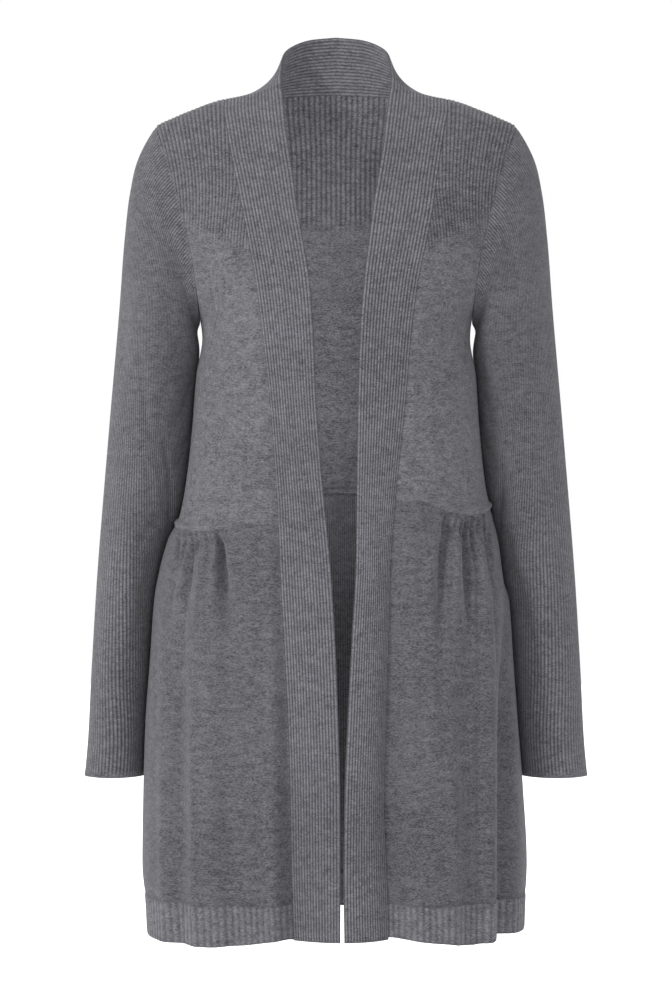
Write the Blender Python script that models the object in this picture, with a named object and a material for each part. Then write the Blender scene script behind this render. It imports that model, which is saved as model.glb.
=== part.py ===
"""Long open-front ribbed cardigan, worn and hollow, one closed solid for each knitted piece.

Sizes are in millimetres and are scaled to metres when a mesh is made. +Z is up, the front faces -Y,
and +X is the wearer's left. The origin is at the high point of the shoulders, midway between them.

Every panel lies on one worn form. A place on the form has a turn, in degrees round the body (0 at the
middle of the front, 90 at the wearer's left side, -90 at the right side, 180 at the middle of the back),
and a height.
"""

from functools import lru_cache

import bmesh
import bpy
import numpy as np

MM = 0.001

# Knit
WALL = 1.8  # thickness of the plain knit
RIB_RISE = 0.7  # how far a rib stands over it
SEAM_GAP = 0.3  # gap between two pieces at a seam
FOLD_ROOM = 0.45  # gap between two layers that turn back on each other at a seam

# Heights of the main lines
NECK_POINT = -8.0  # where the band's seam crosses the shoulder seam
SHOULDER_TIP = -36.0
UNDERARM = -224.0
HEM_TOP = -774.0

# Armhole
SHOULDER_TIP_HALF_WIDTH = 174.6
UNDERARM_HALF_WIDTH = 130.4
ARMHOLE_BOW = {"front": 8.0, "back": 7.0}  # how far it curves in from a straight line
NECK_SHARE = 0.667  # of the back's top edge, from its middle to the shoulder seam

# Stitches, wider than the real ones, which are about 3.3 mm apart
YOKE_RIBS_FRONT = 14
YOKE_RIBS_BACK = 40
BAND_RIBS = 13
SLEEVE_RIBS = 35
SKIRT_BACK_RIBS = 54
HEM_RIBS_FRONT = 26
FADING_RIB = 0.35  # share of a rib's rise where a yoke ends
CUFF_EDGE_RISE = 0.5  # how far the turned edge of a cuff stands out

# Raised edge over the waist seam
SEAM_RIDGE = 1.2
SEAM_RIDGE_MIDDLE = 3.5
SEAM_RIDGE_HALF_WIDTH = 2.4

SKINS = {"rib": (0.133, 0.131, 0.144), "plain": (0.165, 0.162, 0.176), "sleeve": (0.120, 0.118, 0.131)}


def table(names, rows):
    """The columns of a table of numbers, by name."""
    return dict(zip(names, np.array(rows, float).T))


# Half-widths and depths of the worn form, measured to the middle of the knit. Square is the power of
# the section's curve: 2 is an ellipse, and more is boxier.
FORM = table(
    ("height", "right", "left", "front", "back", "square"),
    [
        (14, 84, 84, 28, 75, 2.0),
        (7, 92, 92, 31, 76, 2.0),
        (-3, 102, 102, 36, 77, 2.0),
        (-8, 107, 107, 40, 78, 2.0),
        (-12, 122, 122, 43, 79, 2.0),
        (-20, 142.5, 142.5, 49, 81, 2.0),
        (-28, 160.5, 160.5, 55, 83, 2.0),
        (-36, 174.6, 174.6, 60, 85, 2.0),
        (-60, 180, 180, 74, 90, 2.0),
        (-91, 180.5, 180.5, 86, 96, 2.0),
        (-124, 172, 172, 97, 99, 2.0),
        (-161, 160, 160, 104, 100, 2.0),
        (-190, 149, 149, 107, 100, 2.05),
        (-224, 130.4, 130.4, 109, 99, 2.1),
        (-240, 128.6, 129.0, 109.5, 98.5, 2.15),
        (-275, 134.5, 134.5, 110, 97, 2.2),
        (-327, 138.5, 138, 109, 96, 2.2),
        (-380, 144.5, 143.5, 109, 96, 2.25),
        (-413, 151, 150.5, 110, 98, 2.3),
        (-435, 162, 156, 113, 101, 2.35),
        (-474, 172, 161.5, 118, 106, 2.45),
        (-493, 175, 166.5, 120, 108, 2.5),
        (-551, 179, 170.5, 124, 113, 2.6),
        (-607, 183, 174.5, 127, 118, 2.7),
        (-670, 185, 179.4, 129, 122, 2.75),
        (-745, 186, 183.3, 129, 124, 2.8),
        (-784, 182.5, 181.4, 127, 123, 2.8),
        (-816, 181, 180.4, 126, 122, 2.8),
    ],
)

# The front band from the neck point down: its seam to the panels, its free edge, how much higher the
# edge lies than the seam across the ribs, and how far the strip bows out between them.
BAND_FRONT = table(
    ("height", "seam_right", "edge_right", "seam_left", "edge_left", "edge_rise", "bow_right", "bow_left"),
    [
        (-8, 107.0, 53.0, 107.0, 53.0, 11, -2, -2),
        (-20, 107.3, 51.0, 107.3, 50.5, 7, -1, -1),
        (-42, 104.0, 48.5, 103.5, 47.5, 5, 0, 0),
        (-67, 99.8, 45.0, 99.2, 44.5, 5, 0.5, 0.5),
        (-90, 94.6, 41.0, 95.6, 40.3, 2, 0.5, 0.5),
        (-120, 88.5, 36.5, 91.5, 35.0, 0, 0.5, 0.5),
        (-153, 82.0, 30.8, 85.0, 30.8, 0, 0.5, 0.5),
        (-190, 75.8, 25.0, 77.5, 26.3, 0, 1, 1),
        (-235, 70.2, 21.5, 71.5, 22.8, 0, 1, 1.5),
        (-303, 62.7, 18.6, 65.7, 20.5, 0, 1.5, 2.5),
        (-371, 57.5, 13.4, 58.6, 19.6, 0, 2, 4),
        (-408, 55.0, 10.0, 55.0, 19.2, 0, 2, 5),
        (-454, 53.1, 5.5, 52.0, 18.6, 0, 2.5, 6),
        (-526, 49.2, 0.9, 50.2, 14.8, 0, 3, 6),
        (-600, 45.5, -1.9, 48.0, 11.1, 0, 3, 6),
        (-674, 43.3, -3.7, 46.2, 8.3, 0, 3, 5.5),
        (-745, 42.0, -3.9, 48.5, 7.4, 0, 3, 5),
        (-816, 39.5, -3.7, 50.8, 8.3, 0, 3, 5),
    ],
)

# The collar, from the shoulder seam round to the middle of the back, alike on both sides.
COLLAR = table(
    ("turn", "seam_height", "edge_across", "edge_back", "edge_height", "bow"),
    [
        (90, -8.0, 53.0, -27.0, 3.0, -2),
        (101, -5.5, 53.6, -11.0, 12.0, -3),
        (118, -1.0, 53.0, 13.0, 29.0, -3),
        (132, 1.5, 50.0, 32.0, 43.0, -2),
        (146, 4.0, 42.0, 48.0, 52.0, -1),
        (163, 6.0, 24.0, 61.0, 60.0, 0),
        (180, 7.0, 0.0, 66.0, 63.0, 0),
    ],
)

# The waist seam and the hem, by turn round the body.
WAIST = table(
    ("turn", "height"),
    [
        (-181, -389),
        (-150, -391),
        (-120, -402),
        (-90, -421),
        (-71, -425),
        (-60, -426.4),
        (-53.8, -425.3),
        (-49.8, -422.4),
        (-45.7, -419.6),
        (-28, -418.7),
        (28, -397.2),
        (41, -399),
        (49, -405.6),
        (53, -408.5),
        (62, -411.4),
        (70, -409.5),
        (90, -404),
        (120, -397),
        (150, -391),
        (181, -389),
    ],
)
HEM = table(
    ("turn", "height"),
    [
        (-181, -806),
        (-90, -811),
        (-75, -812),
        (-48, -812.5),
        (-36, -810.5),
        (-21, -805.5),
        (-12, -808),
        (12, -808),
        (23, -805),
        (33, -807),
        (41, -809),
        (50, -812),
        (56, -811),
        (64, -806.5),
        (90, -807.5),
        (181, -806),
    ],
)

# The gutter that the panels and the band make along the band's seam.
GUTTER = table(
    ("height", "depth_right", "width_right", "depth_left", "width_left"),
    [
        (-150, 0.0, 4, 0.0, 4),
        (-235, 1.2, 5, 0.8, 5),
        (-400, 2.2, 6, 2.0, 7),
        (-450, 3.0, 7, 4.5, 11),
        (-526, 5.0, 8, 8.0, 15),
        (-600, 7.0, 8, 12.0, 17),
        (-700, 9.0, 9, 14.0, 18),
        (-760, 10.0, 9, 12.0, 16),
        (-816, 10.0, 10, 13.0, 18),
    ],
)

# Folds of the front, by the place across the body at their two ends. A positive depth stands out, and
# grow is how far a fold takes to reach its depth at each end.
FRONT_FOLDS = table(
    ("top", "z_top", "low", "z_low", "half_width", "depth", "grow_top", "grow_low"),
    [
        (-119, -178, -113, -243, 3.0, -1.8, 15, 25),
        (-112, -186, -108, -232, 2.6, -1.2, 12, 20),
        (-126, -196, -121, -262, 4.0, 1.2, 15, 25),
        (122, -190, 118, -250, 4.0, -1.2, 20, 25),
        (143, -440, 147.5, -830, 8.0, 3.5, 60, 1),
        (162, -446, 160, -830, 12.0, -12.0, 190, 1),
        (-120, -440, -117, -830, 13.0, 4.5, 60, 1),
        (-146, -470, -147, -830, 9.0, -5.0, 120, 1),
        (-163, -480, -162, -830, 8.0, 2.0, 80, 1),
        (-88, -480, -80, -830, 14.0, -3.0, 120, 1),
        (92, -470, 98, -830, 14.0, 3.0, 120, 1),
        (122, -500, 124, -830, 10.0, -3.5, 120, 1),
    ],
)

# The same for the back, by the turn round the body at their two ends.
BACK_FOLDS = table(
    ("top", "z_top", "low", "z_low", "half_width", "depth", "grow_top", "grow_low"),
    [
        (118, -400, 121, -830, 17, -4.5, 120, 1),
        (138, -395, 141, -830, 18, 3.5, 120, 1),
        (164, -395, 166, -830, 18, -4.5, 150, 1),
        (-171, -395, -174, -830, 17, 3.5, 150, 1),
        (-152, -395, -153, -830, 18, -5.0, 130, 1),
        (-131, -400, -133, -830, 16, 3.5, 120, 1),
        (-113, -410, -114, -830, 17, -4.5, 120, 1),
        (152, -120, 150, -330, 18, -2.0, 60, 80),
        (-155, -140, -152, -320, 18, -1.6, 60, 80),
    ],
)

# Gathers under the waist seam, as troughs, by the place across at the seam and where they fade.
GATHERS = table(
    ("top", "low", "length", "half_width", "depth"),
    [
        (-148.0, -156.0, 45, 2.2, -2.2),
        (-142.5, -149.5, 40, 2.0, -2.4),
        (-137.0, -139.5, 65, 2.4, -3.2),
        (-131.5, -133.0, 30, 1.8, -1.8),
        (-127.0, -127.5, 36, 1.8, -1.8),
        (-122.5, -122.5, 24, 1.6, -1.8),
        (-118.0, -116.5, 30, 1.7, -2.0),
        (-112.6, -102.5, 84, 2.8, -5.0),
        (-107.0, -97.5, 20, 1.6, -1.4),
        (104.5, 98.0, 110, 3.2, -3.6),
        (109.0, 106.0, 46, 2.0, -2.6),
        (114.0, 112.0, 34, 1.8, -1.8),
        (119.0, 118.5, 38, 1.8, -2.0),
        (124.0, 126.5, 130, 2.6, -3.8),
        (129.0, 132.0, 42, 2.2, -3.0),
        (134.0, 138.5, 36, 1.8, -1.8),
        (140.0, 147.0, 60, 2.2, -2.4),
    ],
)

UNDERARM_ROW = 0.45  # share of a bodice panel's height where its side meets the underarm

# Where a bodice row meets the band and the side, from the shoulder (0) to the underarm. It goes on
# straight from there to the waist seam (1).
COURSES = table(
    ("along", "at_band", "at_side"),
    [(0, NECK_POINT, SHOULDER_TIP), (0.25, -164, -138), (UNDERARM_ROW, -228, UNDERARM)],
)

# Rings of a sleeve below the armhole: its outer line, the inner line on each side, the middle and half
# of its depth, and how much of the armhole's own shape the ring keeps.
SLEEVE = table(
    ("outer_x", "outer_z", "inner_right", "inner_left", "inner_z", "middle", "depth", "armhole"),
    [
        (182.0, -47.5, 135.2, 136.0, -231, 1, 53.5, 0.6),
        (192.0, -68, 136.5, 137.3, -243, 3, 55, 0.3),
        (199.0, -98, 138.5, 139.0, -262, 5, 56, 0.1),
        (204.2, -140, 141.5, 141.5, -292, 8, 56, 0),
        (209.7, -208, 145.3, 145.0, -337, 12, 53, 0),
        (219.2, -315, 154.5, 153.4, -400, 15, 49.5, 0),
        (227.0, -410, 173.5, 165.0, -452, 15, 47.5, 0),
        (231.8, -478, 181.0, 172.5, -500, 12, 46, 0),
        (236.5, -560, 186.0, 177.2, -565, 7, 42.5, 0),
        (240.2, -640, 190.0, 182.3, -641, -3, 36.5, 0),
        (241.7, -657, 190.0, 182.5, -657, -5, 36, 0),
        (242.0, -662, 189.7, 182.3, -662, -6, 36.2, 0),
    ],
)
ARMHOLE_HALF_DEPTH = 53.0

# Rows of the pieces
YOKE_ROWS = (0, 0.01, 0.023, 0.045, 0.085, 0.15)
YOKE_END_ROW = 0.25
LEVEL_ROW = 0.42  # share of a panel's height where its rows are straight from side to side
BODICE_ROWS = (0.29, 0.34, 0.39, 0.42, 0.435, 0.445, UNDERARM_ROW, 0.58, 0.72, 0.86, 0.982, 0.991, 1)

# Points across the plain inner side of each panel.
INNER_FRONT = 9
INNER_SHOULDER = 6  # along each shoulder of the back
INNER_NECK = 14  # along the back neck
INNER_BACK_WIDE = 45
INNER_HEM_FRONT = 27
INNER_SLEEVE = 24

# Points across the plain outer side below each yoke.
OUTER_FRONT = 11
OUTER_BACK = 26

# Rows of the lower pieces, and where the band stops
SKIRT_ROWS = (0, 0.012, 0.035, 0.08, 0.14, 0.22, 0.36, 0.56, 0.78, 1)
SKIRT_BACK_ROWS = (0, 0.08, 0.22, 0.46, 0.73, 1)
BAND_BODICE_ROWS = (0, 0.01, 0.023, 0.045, 0.085, 0.15, 0.25, 0.34, 0.58, 1)
BAND_SKIRT_ROWS = (0.22, 0.56, 1)
BAND_END = -807.0
COLLAR_TURNS = np.array([90, 104, 120, 137, 158, 180.0])


def smooth(x, xs, ys):
    """A smooth curve through the points (xs, ys) that doesn't overshoot them, read at x."""
    order = np.argsort(xs)
    xs, ys = xs[order], ys[order]
    step = np.diff(xs)
    rise = np.diff(ys) / step
    turning = rise[:-1] * rise[1:] <= 0
    total = np.where(turning, 1.0, rise[:-1] + rise[1:])
    inside = np.where(turning, 0.0, 2 * rise[:-1] * rise[1:] / total)
    slope = np.concatenate([rise[:1], inside, rise[-1:]])
    x = np.clip(x, xs[0], xs[-1])
    k = np.clip(np.searchsorted(xs, x) - 1, 0, len(xs) - 2)
    t = (x - xs[k]) / step[k]
    start = ys[k] * (2 * t**3 - 3 * t**2 + 1) + slope[k] * step[k] * (t**3 - 2 * t**2 + t)
    return start + ys[k + 1] * (3 * t**2 - 2 * t**3) + slope[k + 1] * step[k] * (t**3 - t**2)


def read(rows, name, key, x):
    """A table's column, read at a place x of its key column."""
    return smooth(x, rows[key], rows[name])


def ease(t):
    t = np.clip(t, 0, 1)
    return t * t * (3 - 2 * t)


def unit(v):
    return v / np.linalg.norm(v, axis=-1, keepdims=True)


def signed(turn):
    """The turn in the range from -180 to 180."""
    return (turn + 180) % 360 - 180


# The worn form


def section(turn, height):
    """Half-width, depth and squareness of the form's quarter that a turn lies in."""
    on_right = np.sin(np.radians(turn)) < 0
    ahead = np.cos(np.radians(turn)) > 0
    width = np.where(on_right, read(FORM, "right", "height", height), read(FORM, "left", "height", height))
    depth = np.where(ahead, read(FORM, "front", "height", height), read(FORM, "back", "height", height))
    return width, depth, read(FORM, "square", "height", height)


def form(turn, height):
    """The point of the form at a turn and a height, without folds."""
    width, depth, power = section(turn, height)
    across, ahead = np.sin(np.radians(turn)), np.cos(np.radians(turn))
    reach = ((np.abs(across) / width) ** power + (np.abs(ahead) / depth) ** power) ** (-1 / power)
    return np.stack([reach * across, -reach * ahead, height + 0 * reach], -1)


def form_normal(turn, height):
    """The form's direction outwards."""
    small_turn, small_height = 0.2, 0.4
    round_body = form(turn + small_turn, height) - form(turn - small_turn, height)
    up_body = form(turn, height + small_height) - form(turn, height - small_height)
    return unit(np.cross(round_body, up_body))


def turn_at(x, height, face="front"):
    """The turn of the form's point that lies x across, in front or behind."""
    x = x + 0.0 * height
    width, depth, power = section(np.where(x < 0, -1, 1) * (45.0 if face == "front" else 135.0), height)
    off = depth * np.clip(1 - (np.abs(x) / width) ** power, 0, 1) ** (1 / power)
    return np.degrees(np.arctan2(x, off if face == "front" else -off))


def arc(turn, middle, height):
    """The distance round the form from a middle turn."""
    reach = np.linalg.norm(form(turn, height)[..., :2], axis=-1)
    return reach * np.radians(signed(turn - middle))


# Seams


def course(name, t, last):
    """The height of row t on one edge of a bodice panel that ends at a last height."""
    return np.interp(t, [*COURSES["along"], 1], [*COURSES[name], last])


def meet(seam, line):
    """The height where a seam down the body meets a line round it."""
    height = line(seam(-400.0))
    for _ in range(8):
        height = line(seam(height))
    return height


def band_place(side, height):
    return read(BAND_FRONT, "seam_" + side, "height", height) * (-1 if side == "right" else 1)


@lru_cache
def band_heights(side):
    """Heights of the band's rows down one front, each at a row of the panels beside it."""
    at_waist = meet(lambda height: turn_at(band_place(side, height), height), waist)
    bodice = course("at_band", BAND_BODICE_ROWS, at_waist)
    skirt = at_waist + (HEM_TOP - at_waist) * np.array(BAND_SKIRT_ROWS)
    return np.array([*bodice, *skirt, BAND_END])


def band_seam(side):
    """The band's seam on one front, straight between the band's rows, as a turn for each height."""
    rows = band_heights(side)[::-1]
    return lambda height: turn_at(np.interp(height, rows, band_place(side, rows)), height)


def side_seam(side, face):
    """The side seam's edge on a front or a back, as a turn for each height."""
    way = -1 if side == "right" else 1
    step = 0.5 if face == "back" else -0.5
    return lambda height: way * (90 + step * gap_turn(height))


def gap_turn(height):
    """The turn that a seam's gap takes up at the body's side."""
    return np.degrees(SEAM_GAP / read(FORM, "left", "height", height))


def neck_height(turn):
    """The height of the back neck seam, straight between the collar's rows."""
    heights = read(COLLAR, "seam_height", "turn", COLLAR_TURNS)
    return np.interp(np.abs(signed(turn)), COLLAR_TURNS, heights)


def waist(turn):
    return read(WAIST, "height", "turn", signed(turn))


def hem(turn):
    return read(HEM, "height", "turn", signed(turn))


def armhole(side, face, down):
    """The turn and height of an armhole's line, down from the shoulder tip (0) to the underarm (1)."""
    swing = np.cos(np.pi * down)
    height = (SHOULDER_TIP + UNDERARM) / 2 + (SHOULDER_TIP - UNDERARM) / 2 * swing
    x = (SHOULDER_TIP_HALF_WIDTH + UNDERARM_HALF_WIDTH) / 2
    x = x + (SHOULDER_TIP_HALF_WIDTH - UNDERARM_HALF_WIDTH) / 2 * swing
    x = x - ARMHOLE_BOW[face] * (1 - swing**2)
    return turn_at(-x if side == "right" else x, height, face), height


def armhole_share(height):
    """How far down the armhole a height is."""
    middle = (SHOULDER_TIP + UNDERARM) / 2
    return np.arccos(np.clip((height - middle) / (SHOULDER_TIP - middle), -1, 1)) / np.pi


# Folds


def ridges(rows, turn, height, face):
    """The sum of a table's folds at a place."""
    total = 0.0 * turn
    for k in range(len(rows["top"])):
        share = (rows["z_top"][k] - height) / (rows["z_top"][k] - rows["z_low"][k])
        middle = rows["top"][k] + (rows["low"][k] - rows["top"][k]) * np.clip(share, 0, 1)
        middle = turn_at(middle, height) if face == "front" else middle
        fade = ease((rows["z_top"][k] - height) / rows["grow_top"][k])
        fade = fade * ease((height - rows["z_low"][k]) / rows["grow_low"][k])
        off = arc(turn, middle, height) / rows["half_width"][k]
        total = total + rows["depth"][k] * fade * np.exp(-(off**2))
    return total


def gathers(turn, height):
    """The gathers' depth at a place under the waist seam."""
    total = 0.0 * turn
    below = waist(turn) - height
    for k, top in enumerate(GATHERS["top"]):
        length = GATHERS["length"][k]
        x = top + (GATHERS["low"][k] - top) * np.clip(below / length, 0, 1)
        width = GATHERS["half_width"][k] * (1 + np.clip(below / length, 0, 2))
        fade = (0.35 + 0.65 * ease(below / 12)) * ease((length * 1.3 - below) / length)
        off = arc(turn, turn_at(x, height), height) / width
        total = total + GATHERS["depth"][k] * fade * np.exp(-(off**2)) * (below > 0)
    return total


def gutter(turn, height):
    total = 0.0 * turn
    for side in ("right", "left"):
        width = read(GUTTER, "width_" + side, "height", height)
        off = arc(turn, band_seam(side)(height), height) / width
        total = total - read(GUTTER, "depth_" + side, "height", height) * np.exp(-(off**2))
    return total


def seam_ridge(turn, height):
    """The raised edge of the bodice over the waist seam."""
    off = (height - waist(turn) - SEAM_RIDGE_MIDDLE) / SEAM_RIDGE_HALF_WIDTH
    return SEAM_RIDGE * np.exp(-(off**2)) * (height > waist(turn))


def folds(turn, height):
    """How far the knit stands out from the form at a place."""
    total = ridges(FRONT_FOLDS, turn, height, "front") + ridges(BACK_FOLDS, turn, height, "back")
    return total + gathers(turn, height) + gutter(turn, height) + seam_ridge(turn, height)


def knit(turn, height, out):
    """A point of a knit wall, out from its middle along the form's normal."""
    lift = folds(turn, height) + out
    return form(turn, height) + form_normal(turn, height) * lift[..., None]


# Walls


def stitch(first, second, places_1, places_2, closed):
    """Faces between two rows of vertices, also of unlike counts, matched by their places."""
    if closed:
        first, second = [*first, first[0]], [*second, second[0]]
        places_1, places_2 = np.append(places_1, 1.0), np.append(places_2, 1.0)
    if len(first) == len(second):
        return [(first[i], first[i + 1], second[i + 1], second[i]) for i in range(len(first) - 1)]
    faces, i, j = [], 0, 0
    while i < len(first) - 1 or j < len(second) - 1:
        second_done = j == len(second) - 1
        first_left = i < len(first) - 1
        if second_done or (first_left and places_1[i + 1] <= places_2[j + 1] + 1e-9):
            faces.append((first[i], first[i + 1], second[j]))
            i += 1
        else:
            faces.append((first[i], second[j + 1], second[j]))
            j += 1
    return faces


def wall(name, outer, inner, skin, closed=False):
    """A closed solid between an outer and an inner set of rows, each row a pair (points, places)."""
    points, sheets = [], []
    for rows in (outer, inner):
        numbers = []
        for row, _ in rows:
            numbers.append(list(range(len(points), len(points) + len(row))))
            points.extend(row * MM)
        sheets.append(numbers)
    faces = []
    for rows, numbers in zip((outer, inner), sheets):
        for k in range(len(rows) - 1):
            faces += stitch(numbers[k], numbers[k + 1], rows[k][1], rows[k + 1][1], closed)
    for k in (0, -1):
        faces += stitch(sheets[0][k], sheets[1][k], outer[k][1], inner[k][1], closed)
    if not closed:
        for k in (0, -1):
            edges = [[row[k] for row in numbers] for numbers in sheets]
            shares = [np.linspace(0, 1, len(edge)) for edge in edges]
            faces += stitch(*edges, *shares, False)
    mesh = bpy.data.meshes.new(name)
    mesh.from_pydata(points, [], faces)
    shape = bmesh.new()
    shape.from_mesh(mesh)
    bmesh.ops.triangulate(shape, faces=shape.faces)
    bmesh.ops.recalc_face_normals(shape, faces=shape.faces)
    shape.to_mesh(mesh)
    shape.free()
    mesh.materials.append(material(name + "_knit", SKINS[skin]))
    piece = bpy.data.objects.new(name, mesh)
    collection.objects.link(piece)
    return piece


def material(name, colour):
    made = bpy.data.materials.new(name)
    made.use_nodes = True
    shader = made.node_tree.nodes["Principled BSDF"]
    shader.inputs["Base Color"].default_value = (*colour, 1)
    shader.inputs["Roughness"].default_value = 0.9
    shader.inputs["Metallic"].default_value = 0.0
    made.diffuse_color = (*colour, 1)
    return made


def ribbed(count, rise=RIB_RISE):
    """Places across a ribbed row, and the rise of each: a point in each groove and on each rib."""
    return np.linspace(0, 1, 2 * count + 1), np.arange(2 * count + 1) % 2 * rise


def even(count):
    """Places across a plain row, and their rise."""
    return np.linspace(0, 1, count + 1), np.zeros(count + 1)


def patch(t, across, left, right, top, low):
    """The turns and heights of row t inside four edges, each a function that gives both."""
    place = [(1 - across) * start + across * end for start, end in zip(left(t), right(t))]
    for edge, share in ((top, 1 - ease(t / LEVEL_ROW)), (low, ease((t - LEVEL_ROW) / (1 - LEVEL_ROW)))):
        lines = zip(edge(across), edge(0), edge(1))
        bend = [line - (1 - across) * first - across * last for line, first, last in lines]
        place = [value + share * off for value, off in zip(place, bend)]
    return place


def panel(name, skin, rows, edges, inner):
    """A wall on the worn form inside four edges, plain inside. Rows are (t, (places, rises))."""
    outer_rows, inner_rows = [], []
    for t, (places, rises) in rows:
        outer_rows.append((knit(*patch(t, places, *edges), WALL / 2 + rises), places))
        places = inner if rises.any() else places
        inner_rows.append((knit(*patch(t, places, *edges), 0 * places - WALL / 2), places))
    return wall(name, outer_rows, inner_rows, skin)


# Pieces of the bodice


def bodice_rows(ribs, plain):
    yoke = [(t, ribbed(ribs)) for t in YOKE_ROWS] + [(YOKE_END_ROW, ribbed(ribs, RIB_RISE * FADING_RIB))]
    return yoke + [(t, even(plain)) for t in BODICE_ROWS]


def over_waist(turn):
    return waist(turn) + SEAM_GAP / 2


def under_waist(turn):
    return waist(turn) - SEAM_GAP / 2


def armed_side(side, face, t):
    """The outer edge of a bodice panel at row t: the armhole, then the side seam."""
    seam = side_seam(side, face)
    height = course("at_side", t, meet(seam, over_waist))
    turn, hole_height = armhole(side, face, armhole_share(height))
    shift = (0.5 if face == "back" else -0.5) * gap_turn(height) * (-1 if side == "right" else 1)
    below = height <= UNDERARM
    return np.where(below, seam(height), turn + shift), np.where(below, height, hole_height)


def waist_line(start, end, s):
    turn = start + (end - start) * s
    return turn, over_waist(turn)


def front(side):
    """A front of the bodice, from the shoulder seam to the waist seam and from the band to the side."""
    way = -1 if side == "right" else 1
    seam = band_seam(side)

    def at_band(t):
        height = course("at_band", t, meet(seam, over_waist))
        limit = 90 - gap_turn(height) / 2
        return way * np.minimum(way * seam(height), limit), height

    def at_side(t):
        return armed_side(side, "front", t)

    def shoulder(s):
        height = NECK_POINT + (SHOULDER_TIP - NECK_POINT) * s
        return way * (90 - gap_turn(height) / 2), height

    def at_waist(s):
        return waist_line(at_band(1.0)[0], at_side(1.0)[0], s)

    edges = (at_band, at_side, shoulder, at_waist)
    rows = bodice_rows(YOKE_RIBS_FRONT, OUTER_FRONT)
    rows[-1] = (1, gathered())
    return panel("front_" + side, "plain", rows, edges, np.linspace(0, 1, INNER_FRONT))


def back():
    """The back of the bodice, from the wearer's right side round to the left."""

    def at_right(t):
        turn, height = armed_side("right", "back", t)
        return turn % 360, height

    def at_left(t):
        return armed_side("left", "back", t)

    def top(s):
        off = np.abs(2 * s - 1)
        along_shoulder = np.clip((off - NECK_SHARE) / (1 - NECK_SHARE), 0, 1)
        height = NECK_POINT + (SHOULDER_TIP - NECK_POINT) * along_shoulder
        turn = np.minimum(off / NECK_SHARE * 90, 90 - gap_turn(height) / 2)
        height = np.where(off < NECK_SHARE, neck_height(180 - turn), height)
        return 180 - np.sign(2 * s - 1) * turn, height

    def at_waist(s):
        return waist_line(at_right(1.0)[0], at_left(1.0)[0], s)

    edges = (at_right, at_left, top, at_waist)
    shoulders = np.linspace(0, (1 - NECK_SHARE) / 2, INNER_SHOULDER)
    neck = np.linspace(shoulders[-1], 1 - shoulders[-1], INNER_NECK)[1:-1]
    inner = np.concatenate([shoulders, neck, 1 - shoulders[::-1]])
    return panel("back", "plain", bodice_rows(YOKE_RIBS_BACK, OUTER_BACK), edges, inner)


# Pieces of the skirt


def region(start, end, top, low):
    """The edges of a panel between two seams down the body and two lines round it."""

    def down(seam):
        first, last = meet(seam, top), meet(seam, low)

        def edge(t):
            height = first + (last - first) * t
            return seam(height), height

        return edge

    def round_body(line):
        first, last = start(meet(start, line)), end(meet(end, line))

        def edge(s):
            turn = first + (last - first) * s
            return turn, line(turn)

        return edge

    return down(start), down(end), round_body(top), round_body(low)


def hem_join_above(turn):
    return HEM_TOP + SEAM_GAP / 2 + 0.0 * turn


def hem_join_below(turn):
    return HEM_TOP - SEAM_GAP / 2 + 0.0 * turn


def right_side_behind(height):
    return side_seam("right", "back")(height) % 360


def gathered():
    """Places across a skirt front, close together where it is gathered, and their rise."""
    places = np.concatenate([np.linspace(0, 0.36, 5), np.linspace(0.4, 0.94, 23), [1.0]])
    return places, 0 * places


def skirt_front(side):
    edges = region(band_seam(side), side_seam(side, "front"), under_waist, hem_join_above)
    rows = [(t, gathered()) for t in SKIRT_ROWS]
    return panel("skirt_front_" + side, "plain", rows, edges, gathered()[0])


def skirt_back():
    edges = region(right_side_behind, side_seam("left", "back"), under_waist, hem_join_above)
    rows = [(t, ribbed(SKIRT_BACK_RIBS)) for t in SKIRT_BACK_ROWS]
    return panel("skirt_back", "rib", rows, edges, np.linspace(0, 1, INNER_BACK_WIDE))


def hem_front(side):
    edges = region(band_seam(side), side_seam(side, "front"), hem_join_below, hem)
    rows = [(t, ribbed(HEM_RIBS_FRONT)) for t in (0, 1)]
    return panel("hem_" + side, "rib", rows, edges, np.linspace(0, 1, INNER_HEM_FRONT))


def hem_back():
    edges = region(right_side_behind, side_seam("left", "back"), hem_join_below, hem)
    rows = [(t, ribbed(SKIRT_BACK_RIBS)) for t in (0, 1)]
    return panel("hem_back", "rib", rows, edges, np.linspace(0, 1, INNER_BACK_WIDE))


# The band


def front_station(side, height):
    """The band's seam point, edge point, bow and the form's normal at its seam, on a front."""
    way = -1 if side == "right" else 1
    turn = band_seam(side)(height)
    edge_height = height + read(BAND_FRONT, "edge_rise", "height", height)
    edge_x = way * read(BAND_FRONT, "edge_" + side, "height", height)
    edge = form(turn_at(edge_x, edge_height), edge_height)
    bow = read(BAND_FRONT, "bow_" + side, "height", height)
    return knit(turn, height, 0.0), edge, bow, form_normal(turn, height)


def collar_station(side, turn):
    """The same round the neck, from the shoulder seam to the middle of the back."""
    way = -1 if side == "right" else 1
    height = read(COLLAR, "seam_height", "turn", turn)
    across = way * read(COLLAR, "edge_across", "turn", turn)
    edge = np.array([across, read(COLLAR, "edge_back", "turn", turn), read(COLLAR, "edge_height", "turn", turn)])
    bow = read(COLLAR, "bow", "turn", turn)
    return form(way * turn, height), edge, bow, form_normal(way * turn, height)


def band_stations():
    """Stations from the right hem up, round the neck and down to the left hem."""
    right = [front_station("right", height) for height in band_heights("right")[:0:-1]]
    right += [collar_station("right", turn) for turn in COLLAR_TURNS[:-1]]
    left = [collar_station("left", turn) for turn in COLLAR_TURNS[::-1]]
    left += [front_station("left", height) for height in band_heights("left")[1:]]
    return [np.array(part, float) for part in zip(*(right + left))]


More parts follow.
